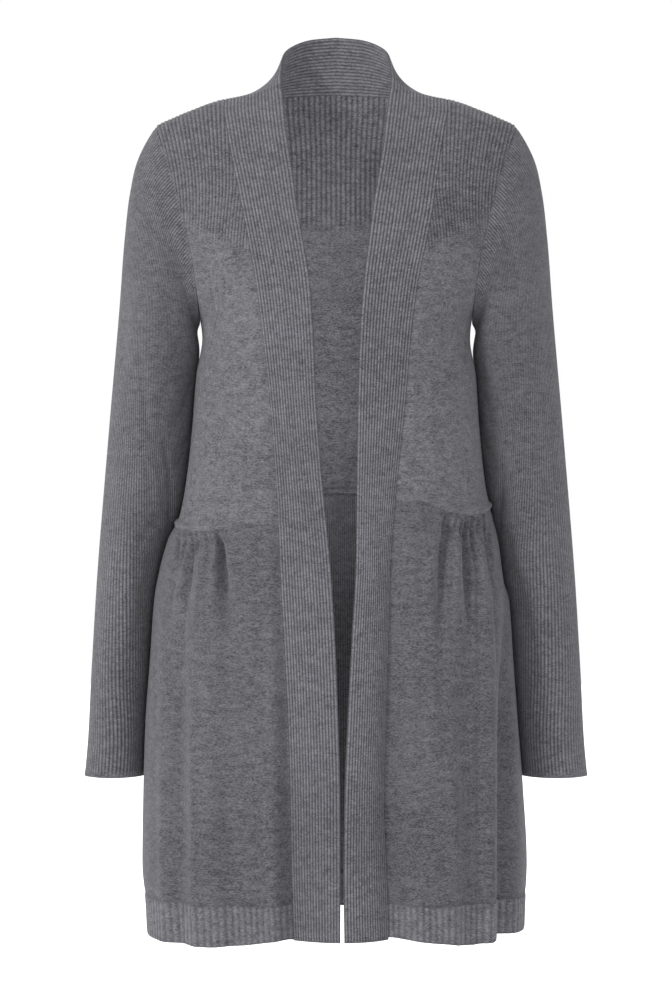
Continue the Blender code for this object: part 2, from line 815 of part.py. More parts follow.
def band_rows(across, out):
    """Rows of the band at places across it, from its seam (0) to its free edge (1)."""
    seam, edge, bow, seam_normal = band_stations()
    along = unit(np.gradient(seam, axis=0))
    straight = edge - seam - np.sum((edge - seam) * along, axis=1, keepdims=True) * along
    seam = seam + SEAM_GAP * unit(straight)
    normal = unit(np.cross(edge - seam, np.gradient((seam + edge) / 2, axis=0)))
    rows = []
    for w, rise in zip(*across):
        middle = seam + (edge - seam) * w + normal * (4 * w * (1 - w) * bow)[:, None]
        turning = ease(w / 0.3)
        lean = unit(normal * turning + seam_normal * (1 - turning))
        rows.append(middle + lean * (out + rise))
    return np.stack(rows, axis=1)


def front_band():
    outer, inner, inner_end = ribbed(BAND_RIBS), even(5), even(BAND_RIBS)
    outer_rows = [(row, outer[0]) for row in band_rows(outer, WALL / 2)]
    inner_rows = [(row, inner[0]) for row in band_rows(inner, -WALL / 2)]
    end_rows = [(row, inner_end[0]) for row in band_rows(inner_end, -WALL / 2)]
    inner_rows = [end_rows[0], *inner_rows[1:-1], end_rows[-1]]
    return wall("front_band", outer_rows, inner_rows, "rib")


# The sleeves


def armhole_points(side, places):
    """The armhole's loop at places round it: forward and down from the shoulder tip (0), then up."""
    down = np.where(places <= 0.5, 2 * places, 2 - 2 * places)
    turn_front, height = armhole(side, "front", down)
    turn_back = armhole(side, "back", down)[0]
    turn = np.where(places <= 0.5, turn_front, turn_back)
    return form(turn, height), form_normal(turn, height)


def loop(side, outer, inner, middle, depth, keep, places):
    """A sleeve ring: an ellipse from its outer to its inner line that keeps some armhole shape."""
    way = -1 if side == "right" else 1
    swing, swell = np.cos(2 * np.pi * places), np.sin(2 * np.pi * places)
    centre, reach = (outer + inner) / 2, (outer - inner) / 2
    points = np.stack(
        [way * (centre[0] + reach[0] * swing), middle - depth * swell, centre[1] + reach[1] * swing], -1
    )
    top = np.array([SHOULDER_TIP_HALF_WIDTH, SHOULDER_TIP])
    low = np.array([UNDERARM_HALF_WIDTH, UNDERARM])
    plain = (top + low)[:, None] / 2 + (top - low)[:, None] / 2 * swing
    plain = np.stack([way * plain[0], -ARMHOLE_HALF_DEPTH * swell, plain[1]], -1)
    return points + keep * (armhole_points(side, places)[0] - plain)


def sleeve_ring(side, k, places):
    row = {name: values[k] for name, values in SLEEVE.items()}
    outer = np.array([row["outer_x"], row["outer_z"]])
    inner = np.array([row["inner_" + side], row["inner_z"]])
    return loop(side, outer, inner, row["middle"], row["depth"], row["armhole"], places)


def ring_tangent(points):
    return np.roll(points, -1, axis=0) - np.roll(points, 1, axis=0)


def sleeve_start(side, places):
    """The sleeve's first ring, beside the panels' edge, and its direction outwards."""
    way = -1 if side == "right" else 1
    hole, hole_normal = armhole_points(side, places)
    round_hole = unit(ring_tangent(hole))
    into_hole = unit(np.cross(hole_normal, round_hole)) * way
    away = unit(sleeve_ring(side, 0, places) - hole)
    outward = unit(np.cross(round_hole, away)) * way
    turned = np.clip(1 - np.sum(away * into_hole, axis=1), 0, 2) / 2
    lift = (WALL + FOLD_ROOM) * turned**0.8
    start = hole + into_hole * SEAM_GAP + hole_normal * lift[:, None]
    return start, outward


def sleeve_rows(side, start_places, places, rises, out):
    """Rows of a sleeve from the armhole to the cuff."""
    way = -1 if side == "right" else 1
    start, outward = sleeve_start(side, start_places)
    rows = [(start + outward * out, start_places)]
    count = len(SLEEVE["outer_x"])
    rings = [sleeve_start(side, places)[0]] + [sleeve_ring(side, k, places) for k in range(count)]
    for k in range(1, count + 1):
        down = rings[min(k + 1, count)] - rings[k - 1]
        outward = unit(np.cross(ring_tangent(rings[k]), down)) * way
        at_edge = k >= count - 1 and out > 0
        rise = CUFF_EDGE_RISE + 0 * rises if at_edge else rises
        rows.append((rings[k] + outward * (out + rise)[:, None], places))
    return rows


def sleeve(side):
    rows = [t for t in (*YOKE_ROWS, YOKE_END_ROW, *BODICE_ROWS) if t <= UNDERARM_ROW]
    seams = [armhole_share(course("at_side", t, 0)) for t in rows]
    down = np.array(seams) / 2
    start_places = np.concatenate([down, 1 - down[-2:0:-1]])
    places = np.arange(2 * SLEEVE_RIBS) / (2 * SLEEVE_RIBS)
    rises = np.arange(2 * SLEEVE_RIBS) % 2 * RIB_RISE
    outer = sleeve_rows(side, start_places, places, rises, WALL / 2)
    places = np.arange(INNER_SLEEVE) / INNER_SLEEVE
    inner = sleeve_rows(side, start_places, places, 0 * places, -WALL / 2)
    return wall("sleeve_" + side, outer, inner, "sleeve", closed=True)


for old in list(bpy.data.objects):
    bpy.data.objects.remove(old)
collection = bpy.data.collections.new("open_cardigan")
bpy.context.scene.collection.children.link(collection)

back()
skirt_back()
hem_back()
front_band()
for side in ("right", "left"):
    front(side)
    skirt_front(side)
    hem_front(side)
    sleeve(side)
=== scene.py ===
"""Looks for the long open-front ribbed cardigan: fine knitted walls on the forms of its solids.

Sizes are in millimetres and are scaled to metres when a mesh is made. A place on the worn form has a
turn, in degrees round the body from the middle of the front, and a height. Every piece is a thin shell
that replaces its solid, with the rib's phase kept on its points for the knit materials.
"""

from functools import lru_cache

import bmesh
import bpy
import numpy as np
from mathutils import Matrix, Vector


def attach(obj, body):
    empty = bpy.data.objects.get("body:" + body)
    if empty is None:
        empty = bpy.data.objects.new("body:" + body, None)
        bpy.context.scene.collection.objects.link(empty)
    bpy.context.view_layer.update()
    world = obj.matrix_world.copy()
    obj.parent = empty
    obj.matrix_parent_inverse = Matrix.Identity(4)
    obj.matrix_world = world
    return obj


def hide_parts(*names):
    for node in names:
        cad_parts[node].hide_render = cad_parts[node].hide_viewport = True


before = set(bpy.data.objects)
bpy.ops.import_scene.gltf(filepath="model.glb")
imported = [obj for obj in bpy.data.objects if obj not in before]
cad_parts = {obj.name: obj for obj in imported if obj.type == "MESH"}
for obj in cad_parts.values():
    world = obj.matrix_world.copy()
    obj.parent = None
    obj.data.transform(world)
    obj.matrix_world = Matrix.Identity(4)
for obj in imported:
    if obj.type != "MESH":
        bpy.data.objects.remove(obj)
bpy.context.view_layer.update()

MM = 0.001
WALL = 1.8  # thickness of the plain knit
FOLD_ROOM = 0.45  # gap between two layers that turn back on each other at a seam

# Heights of the main lines
NECK_POINT = -8.0  # where the band's seam crosses the shoulder seam
SHOULDER_TIP = -36.0
UNDERARM = -224.0
HEM_TOP = -774.0

# Armhole
SHOULDER_TIP_HALF_WIDTH = 174.6
UNDERARM_HALF_WIDTH = 130.4
ARMHOLE_BOW = {"front": 8.0, "back": 7.0}  # how far it curves in from a straight line
NECK_SHARE = 0.667  # of the back's top edge, from its middle to the shoulder seam

# Raised edge over the waist seam
SEAM_RIDGE = 1.2
SEAM_RIDGE_MIDDLE = 3.5
SEAM_RIDGE_HALF_WIDTH = 2.4


def table(names, rows):
    """The columns of a table of numbers, by name."""
    return dict(zip(names, np.array(rows, float).T))


# Half-widths and depths of the worn form, measured to the middle of the knit. Square is the power of
# the section's curve: 2 is an ellipse, and more is boxier.
FORM = table(
    ("height", "right", "left", "front", "back", "square"),
    [
        (14, 84, 84, 28, 75, 2.0),
        (7, 92, 92, 31, 76, 2.0),
        (-3, 102, 102, 36, 77, 2.0),
        (-8, 107, 107, 40, 78, 2.0),
        (-12, 122, 122, 43, 79, 2.0),
        (-20, 142.5, 142.5, 49, 81, 2.0),
        (-28, 160.5, 160.5, 55, 83, 2.0),
        (-36, 174.6, 174.6, 60, 85, 2.0),
        (-60, 180, 180, 74, 90, 2.0),
        (-91, 180.5, 180.5, 86, 96, 2.0),
        (-124, 172, 172, 97, 99, 2.0),
        (-161, 160, 160, 104, 100, 2.0),
        (-190, 149, 149, 107, 100, 2.05),
        (-224, 130.4, 130.4, 109, 99, 2.1),
        (-240, 128.6, 129.0, 109.5, 98.5, 2.15),
        (-275, 134.5, 134.5, 110, 97, 2.2),
        (-327, 138.5, 138, 109, 96, 2.2),
        (-380, 144.5, 143.5, 109, 96, 2.25),
        (-413, 151, 150.5, 110, 98, 2.3),
        (-435, 162, 156, 113, 101, 2.35),
        (-474, 172, 161.5, 118, 106, 2.45),
        (-493, 175, 166.5, 120, 108, 2.5),
        (-551, 179, 170.5, 124, 113, 2.6),
        (-607, 183, 174.5, 127, 118, 2.7),
        (-670, 185, 179.4, 129, 122, 2.75),
        (-745, 186, 183.3, 129, 124, 2.8),
        (-784, 182.5, 181.4, 127, 123, 2.8),
        (-816, 181, 180.4, 126, 122, 2.8),
    ],
)

# The front band from the neck point down: its seam to the panels, its free edge, how much higher the
# edge lies than the seam across the ribs, and how far the strip bows out between them.
BAND_FRONT = table(
    ("height", "seam_right", "edge_right", "seam_left", "edge_left", "edge_rise", "bow_right", "bow_left"),
    [
        (-8, 107.0, 53.0, 107.0, 53.0, 11, -2, -2),
        (-20, 107.3, 51.0, 107.3, 50.5, 7, -1, -1),
        (-42, 104.0, 48.5, 103.5, 47.5, 5, 0, 0),
        (-67, 99.8, 45.0, 99.2, 44.5, 5, 0.5, 0.5),
        (-90, 94.6, 41.0, 95.6, 40.3, 2, 0.5, 0.5),
        (-120, 88.5, 36.5, 91.5, 35.0, 0, 0.5, 0.5),
        (-153, 82.0, 30.8, 85.0, 30.8, 0, 0.5, 0.5),
        (-190, 75.8, 25.0, 77.5, 26.3, 0, 1, 1),
        (-235, 70.2, 21.5, 71.5, 22.8, 0, 1, 1.5),
        (-303, 62.7, 18.6, 65.7, 20.5, 0, 1.5, 2.5),
        (-371, 57.5, 13.4, 58.6, 19.6, 0, 2, 4),
        (-408, 55.0, 10.0, 55.0, 19.2, 0, 2, 5),
        (-454, 53.1, 5.5, 52.0, 18.6, 0, 2.5, 6),
        (-526, 49.2, 0.9, 50.2, 14.8, 0, 3, 6),
        (-600, 45.5, -1.9, 48.0, 11.1, 0, 3, 6),
        (-674, 43.3, -3.7, 46.2, 8.3, 0, 3, 5.5),
        (-745, 42.0, -3.9, 48.5, 7.4, 0, 3, 5),
        (-816, 39.5, -3.7, 50.8, 8.3, 0, 3, 5),
    ],
)

# The collar, from the shoulder seam round to the middle of the back, alike on both sides.
COLLAR = table(
    ("turn", "seam_height", "edge_across", "edge_back", "edge_height", "bow"),
    [
        (90, -8.0, 53.0, -27.0, 3.0, -2),
        (101, -5.5, 53.6, -11.0, 12.0, -3),
        (118, -1.0, 53.0, 13.0, 29.0, -3),
        (132, 1.5, 50.0, 32.0, 43.0, -2),
        (146, 4.0, 42.0, 48.0, 52.0, -1),
        (163, 6.0, 24.0, 61.0, 60.0, 0),
        (180, 7.0, 0.0, 66.0, 63.0, 0),
    ],
)

# The waist seam and the hem, by turn round the body.
WAIST = table(
    ("turn", "height"),
    [
        (-181, -389),
        (-150, -391),
        (-120, -402),
        (-90, -421),
        (-71, -425),
        (-60, -426.4),
        (-53.8, -425.3),
        (-49.8, -422.4),
        (-45.7, -419.6),
        (-28, -418.7),
        (28, -397.2),
        (41, -399),
        (49, -405.6),
        (53, -408.5),
        (62, -411.4),
        (70, -409.5),
        (90, -404),
        (120, -397),
        (150, -391),
        (181, -389),
    ],
)
HEM = table(
    ("turn", "height"),
    [
        (-181, -806),
        (-90, -811),
        (-75, -812),
        (-48, -812.5),
        (-36, -810.5),
        (-21, -805.5),
        (-12, -808),
        (12, -808),
        (23, -805),
        (33, -807),
        (41, -809),
        (50, -812),
        (56, -811),
        (64, -806.5),
        (90, -807.5),
        (181, -806),
    ],
)

# The gutter that the panels and the band make along the band's seam.
GUTTER = table(
    ("height", "depth_right", "width_right", "depth_left", "width_left"),
    [
        (-150, 0.0, 4, 0.0, 4),
        (-235, 1.2, 5, 0.8, 5),
        (-400, 2.2, 6, 2.0, 7),
        (-450, 3.0, 7, 4.5, 11),
        (-526, 5.0, 8, 8.0, 15),
        (-600, 7.0, 8, 12.0, 17),
        (-700, 9.0, 9, 14.0, 18),
        (-760, 10.0, 9, 12.0, 16),
        (-816, 10.0, 10, 13.0, 18),
    ],
)

# Folds of the front, by the place across the body at their two ends. A positive depth stands out, and
# grow is how far a fold takes to reach its depth at each end.
FRONT_FOLDS = table(
    ("top", "z_top", "low", "z_low", "half_width", "depth", "grow_top", "grow_low"),
    [
        (-119, -178, -113, -243, 3.0, -1.8, 15, 25),
        (-112, -186, -108, -232, 2.6, -1.2, 12, 20),
        (-126, -196, -121, -262, 4.0, 1.2, 15, 25),
        (122, -190, 118, -250, 4.0, -1.2, 20, 25),
        (143, -440, 147.5, -830, 8.0, 3.5, 60, 1),
        (162, -446, 160, -830, 12.0, -12.0, 190, 1),
        (-120, -440, -117, -830, 13.0, 4.5, 60, 1),
        (-146, -470, -147, -830, 9.0, -5.0, 120, 1),
        (-163, -480, -162, -830, 8.0, 2.0, 80, 1),
        (-88, -480, -80, -830, 14.0, -3.0, 120, 1),
        (92, -470, 98, -830, 14.0, 3.0, 120, 1),
        (122, -500, 124, -830, 10.0, -3.5, 120, 1),
    ],
)

# The same for the back, by the turn round the body at their two ends.
BACK_FOLDS = table(
    ("top", "z_top", "low", "z_low", "half_width", "depth", "grow_top", "grow_low"),
    [
        (118, -400, 121, -830, 17, -4.5, 120, 1),
        (138, -395, 141, -830, 18, 3.5, 120, 1),
        (164, -395, 166, -830, 18, -4.5, 150, 1),
        (-171, -395, -174, -830, 17, 3.5, 150, 1),
        (-152, -395, -153, -830, 18, -5.0, 130, 1),
        (-131, -400, -133, -830, 16, 3.5, 120, 1),
        (-113, -410, -114, -830, 17, -4.5, 120, 1),
        (152, -120, 150, -330, 18, -2.0, 60, 80),
        (-155, -140, -152, -320, 18, -1.6, 60, 80),
    ],
)

# Gathers under the waist seam, as troughs, by the place across at the seam and where they fade.
GATHERS = table(
    ("top", "low", "length", "half_width", "depth"),
    [
        (-148.0, -156.0, 45, 2.2, -2.2),
        (-142.5, -149.5, 40, 2.0, -2.4),
        (-137.0, -139.5, 65, 2.4, -3.2),
        (-131.5, -133.0, 30, 1.8, -1.8),
        (-127.0, -127.5, 36, 1.8, -1.8),
        (-122.5, -122.5, 24, 1.6, -1.8),
        (-118.0, -116.5, 30, 1.7, -2.0),
        (-112.6, -102.5, 84, 2.8, -5.0),
        (-107.0, -97.5, 20, 1.6, -1.4),
        (104.5, 98.0, 110, 3.2, -3.6),
        (109.0, 106.0, 46, 2.0, -2.6),
        (114.0, 112.0, 34, 1.8, -1.8),
        (119.0, 118.5, 38, 1.8, -2.0),
        (124.0, 126.5, 130, 2.6, -3.8),
        (129.0, 132.0, 42, 2.2, -3.0),
        (134.0, 138.5, 36, 1.8, -1.8),
        (140.0, 147.0, 60, 2.2, -2.4),
    ],
)

# Where a bodice row meets the band and the side, from the shoulder (0) to the underarm. It goes on
# straight from there to the waist seam (1).
COURSES = table(
    ("along", "at_band", "at_side"),
    [(0, NECK_POINT, SHOULDER_TIP), (0.25, -164, -138), (0.45, -228, UNDERARM)],
)

# Rings of a sleeve below the armhole: its outer line, the inner line on each side, the middle and half
# of its depth, and how much of the armhole's own shape the ring keeps.
SLEEVE = table(
    ("outer_x", "outer_z", "inner_right", "inner_left", "inner_z", "middle", "depth", "armhole"),
    [
        (182.0, -47.5, 135.2, 136.0, -231, 1, 53.5, 0.6),
        (192.0, -68, 136.5, 137.3, -243, 3, 55, 0.3),
        (199.0, -98, 138.5, 139.0, -262, 5, 56, 0.1),
        (204.2, -140, 141.5, 141.5, -292, 8, 56, 0),
        (209.7, -208, 145.3, 145.0, -337, 12, 53, 0),
        (219.2, -315, 154.5, 153.4, -400, 15, 49.5, 0),
        (227.0, -410, 173.5, 165.0, -452, 15, 47.5, 0),
        (231.8, -478, 181.0, 172.5, -500, 12, 46, 0),
        (236.5, -560, 186.0, 177.2, -565, 7, 42.5, 0),
        (240.2, -640, 190.0, 182.3, -641, -3, 36.5, 0),
        (241.7, -657, 190.0, 182.5, -657, -5, 36, 0),
        (242.0, -662, 189.7, 182.3, -662, -6, 36.2, 0),
    ],
)
ARMHOLE_HALF_DEPTH = 53.0

LEVEL_ROW = 0.42  # share of a panel's height where its rows are straight from side to side


def smooth(x, xs, ys):
    """A smooth curve through the points (xs, ys) that doesn't overshoot them, read at x."""
    order = np.argsort(xs)
    xs, ys = xs[order], ys[order]
    step = np.diff(xs)
    rise = np.diff(ys) / step
    turning = rise[:-1] * rise[1:] <= 0
    total = np.where(turning, 1.0, rise[:-1] + rise[1:])
    inside = np.where(turning, 0.0, 2 * rise[:-1] * rise[1:] / total)
    slope = np.concatenate([rise[:1], inside, rise[-1:]])
    x = np.clip(x, xs[0], xs[-1])
    k = np.clip(np.searchsorted(xs, x) - 1, 0, len(xs) - 2)
    t = (x - xs[k]) / step[k]
    start = ys[k] * (2 * t**3 - 3 * t**2 + 1) + slope[k] * step[k] * (t**3 - 2 * t**2 + t)
    return start + ys[k + 1] * (3 * t**2 - 2 * t**3) + slope[k + 1] * step[k] * (t**3 - t**2)


def read(rows, name, key, x):
    """A table's column, read at a place x of its key column."""
    return smooth(x, rows[key], rows[name])


def ease(t):
    t = np.clip(t, 0, 1)
    return t * t * (3 - 2 * t)


def unit(v):
    return v / np.linalg.norm(v, axis=-1, keepdims=True)


def signed(turn):
    """The turn in the range from -180 to 180."""
    return (turn + 180) % 360 - 180


# The worn form


def section(turn, height):
    """Half-width, depth and squareness of the form's quarter that a turn lies in."""
    on_right = np.sin(np.radians(turn)) < 0
    ahead = np.cos(np.radians(turn)) > 0
    width = np.where(on_right, read(FORM, "right", "height", height), read(FORM, "left", "height", height))
    depth = np.where(ahead, read(FORM, "front", "height", height), read(FORM, "back", "height", height))
    return width, depth, read(FORM, "square", "height", height)


def form(turn, height):
    """The point of the form at a turn and a height, without folds."""
    width, depth, power = section(turn, height)
    across, ahead = np.sin(np.radians(turn)), np.cos(np.radians(turn))
    reach = ((np.abs(across) / width) ** power + (np.abs(ahead) / depth) ** power) ** (-1 / power)
    return np.stack([reach * across, -reach * ahead, height + 0 * reach], -1)


def form_normal(turn, height):
    """The form's direction outwards."""
    small_turn, small_height = 0.2, 0.4
    round_body = form(turn + small_turn, height) - form(turn - small_turn, height)
    up_body = form(turn, height + small_height) - form(turn, height - small_height)
    return unit(np.cross(round_body, up_body))


def turn_at(x, height, face="front"):
    """The turn of the form's point that lies x across, in front or behind."""
    x = x + 0.0 * height
    width, depth, power = section(np.where(x < 0, -1, 1) * (45.0 if face == "front" else 135.0), height)
    off = depth * np.clip(1 - (np.abs(x) / width) ** power, 0, 1) ** (1 / power)
    return np.degrees(np.arctan2(x, off if face == "front" else -off))


def arc(turn, middle, height):
    """The distance round the form from a middle turn."""
    reach = np.linalg.norm(form(turn, height)[..., :2], axis=-1)
    return reach * np.radians(signed(turn - middle))


# Seams


def way_of(side):
    """The sign of x on one side: the wearer's right is at minus x."""
    return -1 if side == "right" else 1


def course(name, t, last):
    """The height of row t on one edge of a bodice panel that ends at a last height."""
    return np.interp(t, [*COURSES["along"], 1], [*COURSES[name], last])


def meet(seam, line):
    """The height where a seam down the body meets a line round it."""
    height = line(seam(-400.0))
    for _ in range(8):
        height = line(seam(height))
    return height


def band_place(side, height):
    return read(BAND_FRONT, "seam_" + side, "height", height) * way_of(side)


def band_seam(side):
    """The band's seam on one front, as a turn for each height."""
    return lambda height: turn_at(band_place(side, height), height)


def side_seam(side):
    """The side seam, as a turn for each height."""
    return lambda height: way_of(side) * 90.0 + 0.0 * height


def neck_height(turn):
    return read(COLLAR, "seam_height", "turn", np.abs(signed(turn)))


def waist(turn):
    return read(WAIST, "height", "turn", signed(turn))


def hem(turn):
    return read(HEM, "height", "turn", signed(turn))


def armhole(side, face, down):
    """The turn and height of an armhole's line, down from the shoulder tip (0) to the underarm (1)."""
    swing = np.cos(np.pi * down)
    height = (SHOULDER_TIP + UNDERARM) / 2 + (SHOULDER_TIP - UNDERARM) / 2 * swing
    x = (SHOULDER_TIP_HALF_WIDTH + UNDERARM_HALF_WIDTH) / 2
    x = x + (SHOULDER_TIP_HALF_WIDTH - UNDERARM_HALF_WIDTH) / 2 * swing
    x = x - ARMHOLE_BOW[face] * (1 - swing**2)
    return turn_at(way_of(side) * x, height, face), height


def armhole_share(height):
    """How far down the armhole a height is."""
    middle = (SHOULDER_TIP + UNDERARM) / 2
    return np.arccos(np.clip((height - middle) / (SHOULDER_TIP - middle), -1, 1)) / np.pi


# Folds


def ridges(rows, turn, height, face):
    """The sum of a table's folds at a place."""
    total = 0.0 * turn
    for k in range(len(rows["top"])):
        share = (rows["z_top"][k] - height) / (rows["z_top"][k] - rows["z_low"][k])
        middle = rows["top"][k] + (rows["low"][k] - rows["top"][k]) * np.clip(share, 0, 1)
        middle = turn_at(middle, height) if face == "front" else middle
        fade = ease((rows["z_top"][k] - height) / rows["grow_top"][k])
        fade = fade * ease((height - rows["z_low"][k]) / rows["grow_low"][k])
        off = arc(turn, middle, height) / rows["half_width"][k]
        total = total + rows["depth"][k] * fade * np.exp(-(off**2))
    return total


def gathers(turn, height):
    """The gathers' depth at a place under the waist seam."""
    total = 0.0 * turn
    below = waist(turn) - height
    for k, top in enumerate(GATHERS["top"]):
        length = GATHERS["length"][k]
        x = top + (GATHERS["low"][k] - top) * np.clip(below / length, 0, 1)
        width = GATHERS["half_width"][k] * (1 + np.clip(below / length, 0, 2))
        fade = (0.35 + 0.65 * ease(below / 12)) * ease((length * 1.3 - below) / length)
        off = arc(turn, turn_at(x, height), height) / width
        total = total + GATHERS["depth"][k] * fade * np.exp(-(off**2)) * (below > 0)
    return total


def gutter(turn, height):
    total = 0.0 * turn
    for side in ("right", "left"):
        width = read(GUTTER, "width_" + side, "height", height)
        off = arc(turn, band_seam(side)(height), height) / width
        total = total - read(GUTTER, "depth_" + side, "height", height) * np.exp(-(off**2))
    return total


def seam_ridge(turn, height):
    """The raised edge of the bodice over the waist seam."""
    off = (height - waist(turn) - SEAM_RIDGE_MIDDLE) / SEAM_RIDGE_HALF_WIDTH
    return SEAM_RIDGE * np.exp(-(off**2)) * (height > waist(turn))


def patch(t, across, left, right, top, low):
    """The turns and heights of row t inside four edges, each a function that gives both."""
    place = [(1 - across) * start + across * end for start, end in zip(left(t), right(t))]
    for edge, share in ((top, 1 - ease(t / LEVEL_ROW)), (low, ease((t - LEVEL_ROW) / (1 - LEVEL_ROW)))):
        lines = zip(edge(across), edge(0), edge(1))
        bend = [line - (1 - across) * first - across * last for line, first, last in lines]
        place = [value + share * off for value, off in zip(place, bend)]
    return place


# Knit and creases of the looks

RIB_HEIGHT = 0.9  # how far a real rib stands out
RIB_LEVEL = 0.45  # part of a rib's height that lies at the plain knit's level
CREASE_DEPTH = 1.9  # how many times as deep the soft creases are as their tables say
GATHER_DEPTH = 2.5  # how many times as deep the gathers are as those of the solids
GUTTER_DEPTH = 1.5  # the same for the hollow beside the band
SEAM_HEIGHT = 2.2  # the same for the ridge over the waist seam
EDGE_ROLL = 0.5  # how far a panel's edge rolls in at a seam
EDGE_ROLL_WIDTH = 1.6
INNER_ROLL = 0.6  # share of a roll that the inner side takes
RIB_PITCH = 3.3  # of a sleeve
COURSE_STEP = 1.6  # from one course of stitches to the next
YOKE_PITCH_BACK = 4.9
YOKE_RIBS = 19  # across the fan of the front yoke
YOKE_FADE = 24.0  # how far a yoke's ribs take to fade
SKIRT_RIBS = 150
HEM_RIBS_FRONT = 34
HEM_RIBS_BACK = 130
BAND_RIB_COUNT = 17
STITCH_LINE = -790.0  # where the turned end of the band is sewn down

# Fan of the front yoke's ribs: where its inner and outer ends lie at each height.
FAN = table(
    ("height", "inner", "outer"),
    [
        (-8, 88, 176),
        (-36, 90, 165),
        (-97, 90.5, 152),
        (-124, 93, 150),
        (-154, 95.5, 151.5),
        (-200, 97, 152),
    ],
)

# Soft creases of the front, in the columns of the front's folds.
FRONT_CREASES = table(
    ("top", "z_top", "low", "z_low", "half_width", "depth", "grow_top", "grow_low"),
    [
        (-96, -176, -101, -214, 2.2, -0.7, 8, 14),
        (-104, -183, -106, -238, 2.4, -0.9, 10, 22),
        (-120, -205, -116, -266, 3.2, -0.8, 12, 26),
        (-84, -232, -78, -300, 5.0, -0.7, 20, 30),
        (-128, -262, -122, -330, 4.5, 0.8, 20, 30),
        (-108, -318, -114, -398, 5.5, -0.8, 24, 20),
        (-90, -342, -86, -410, 4.0, 0.6, 22, 14),
        (-133, -356, -138, -415, 3.5, -1.0, 18, 10),
        (98, -182, 104, -236, 2.6, -0.8, 12, 22),
        (114, -202, 110, -262, 3.0, 0.7, 14, 24),
        (125, -228, 118, -300, 4.0, -1.0, 18, 30),
        (86, -300, 92, -372, 5.0, 0.7, 26, 24),
        (120, -330, 127, -396, 4.2, -1.0, 20, 14),
        (76, -344, 72, -396, 3.6, -0.7, 18, 12),
        (-150, -428, -157, -540, 3.0, -1.3, 6, 80),
        (-140, -428, -144, -560, 3.5, -1.5, 6, 90),
        (-130, -428, -131, -520, 3.0, -1.2, 6, 70),
        (-121, -428, -119, -540, 3.4, -1.4, 6, 80),
        (-108, -430, -98, -600, 4.5, -1.7, 10, 110),
        (101, -428, 95, -640, 5.0, -1.7, 10, 150),
        (112, -420, 108, -540, 3.2, -1.3, 6, 70),
        (121, -420, 121, -560, 3.4, -1.5, 6, 90),
        (132, -418, 136, -600, 4.0, -1.7, 6, 110),
        (145, -420, 152, -580, 4.0, -1.3, 6, 90),
        (-100, -432, -92, -520, 4.5, 1.4, 8, 60),
        (-128, -436, -133, -560, 4.0, 1.5, 8, 80),
        (-70, -450, -64, -640, 6.0, -1.2, 30, 120),
        (-134, -560, -130, -830, 6.0, 1.6, 80, 1),
        (-103, -600, -98, -830, 7.0, -1.6, 90, 1),
        (-60, -640, -57, -830, 6.0, 1.0, 80, 1),
        (116, -426, 110, -520, 3.6, 1.4, 8, 60),
        (136, -430, 141, -540, 3.4, 1.8, 8, 70),
        (80, -440, 74, -620, 6.0, -1.0, 40, 110),
        (108, -560, 112, -830, 6.0, 1.8, 90, 1),
        (134, -540, 136, -830, 5.0, -1.8, 90, 1),
        (72, -660, 70, -830, 6.0, -0.9, 70, 1),
    ],
)

# Soft creases of the back, by the turn round the body.
BACK_CREASES = table(
    ("top", "z_top", "low", "z_low", "half_width", "depth", "grow_top", "grow_low"),
    [
        (128, -196, 134, -270, 5, -0.9, 20, 34),
        (121, -226, 124, -318, 6, 0.8, 26, 36),
        (-127, -188, -134, -262, 5, -1.0, 18, 34),
        (-120, -236, -122, -330, 6, -0.7, 24, 40),
        (160, -250, 166, -378, 8, 0.8, 40, 30),
        (-166, -270, -170, -384, 9, -0.8, 40, 24),
        (176, -300, 174, -386, 7, -0.6, 30, 20),
        (-146, -330, -142, -396, 6, 0.9, 22, 12),
        (148, -340, 144, -392, 6, -0.9, 22, 12),
        (104, -410, 106, -560, 7, 1.2, 10, 90),
        (127, -400, 129, -640, 7, -1.3, 12, 130),
        (151, -398, 153, -600, 8, 1.2, 12, 110),
        (177, -396, 179, -660, 8, 1.3, 14, 130),
        (-162, -396, -164, -620, 8, -1.3, 12, 120),
        (-141, -400, -142, -680, 7, 1.4, 12, 140),
        (-121, -404, -123, -590, 7, 1.1, 12, 100),
        (-102, -414, -103, -640, 6, -1.2, 12, 110),
    ],
)

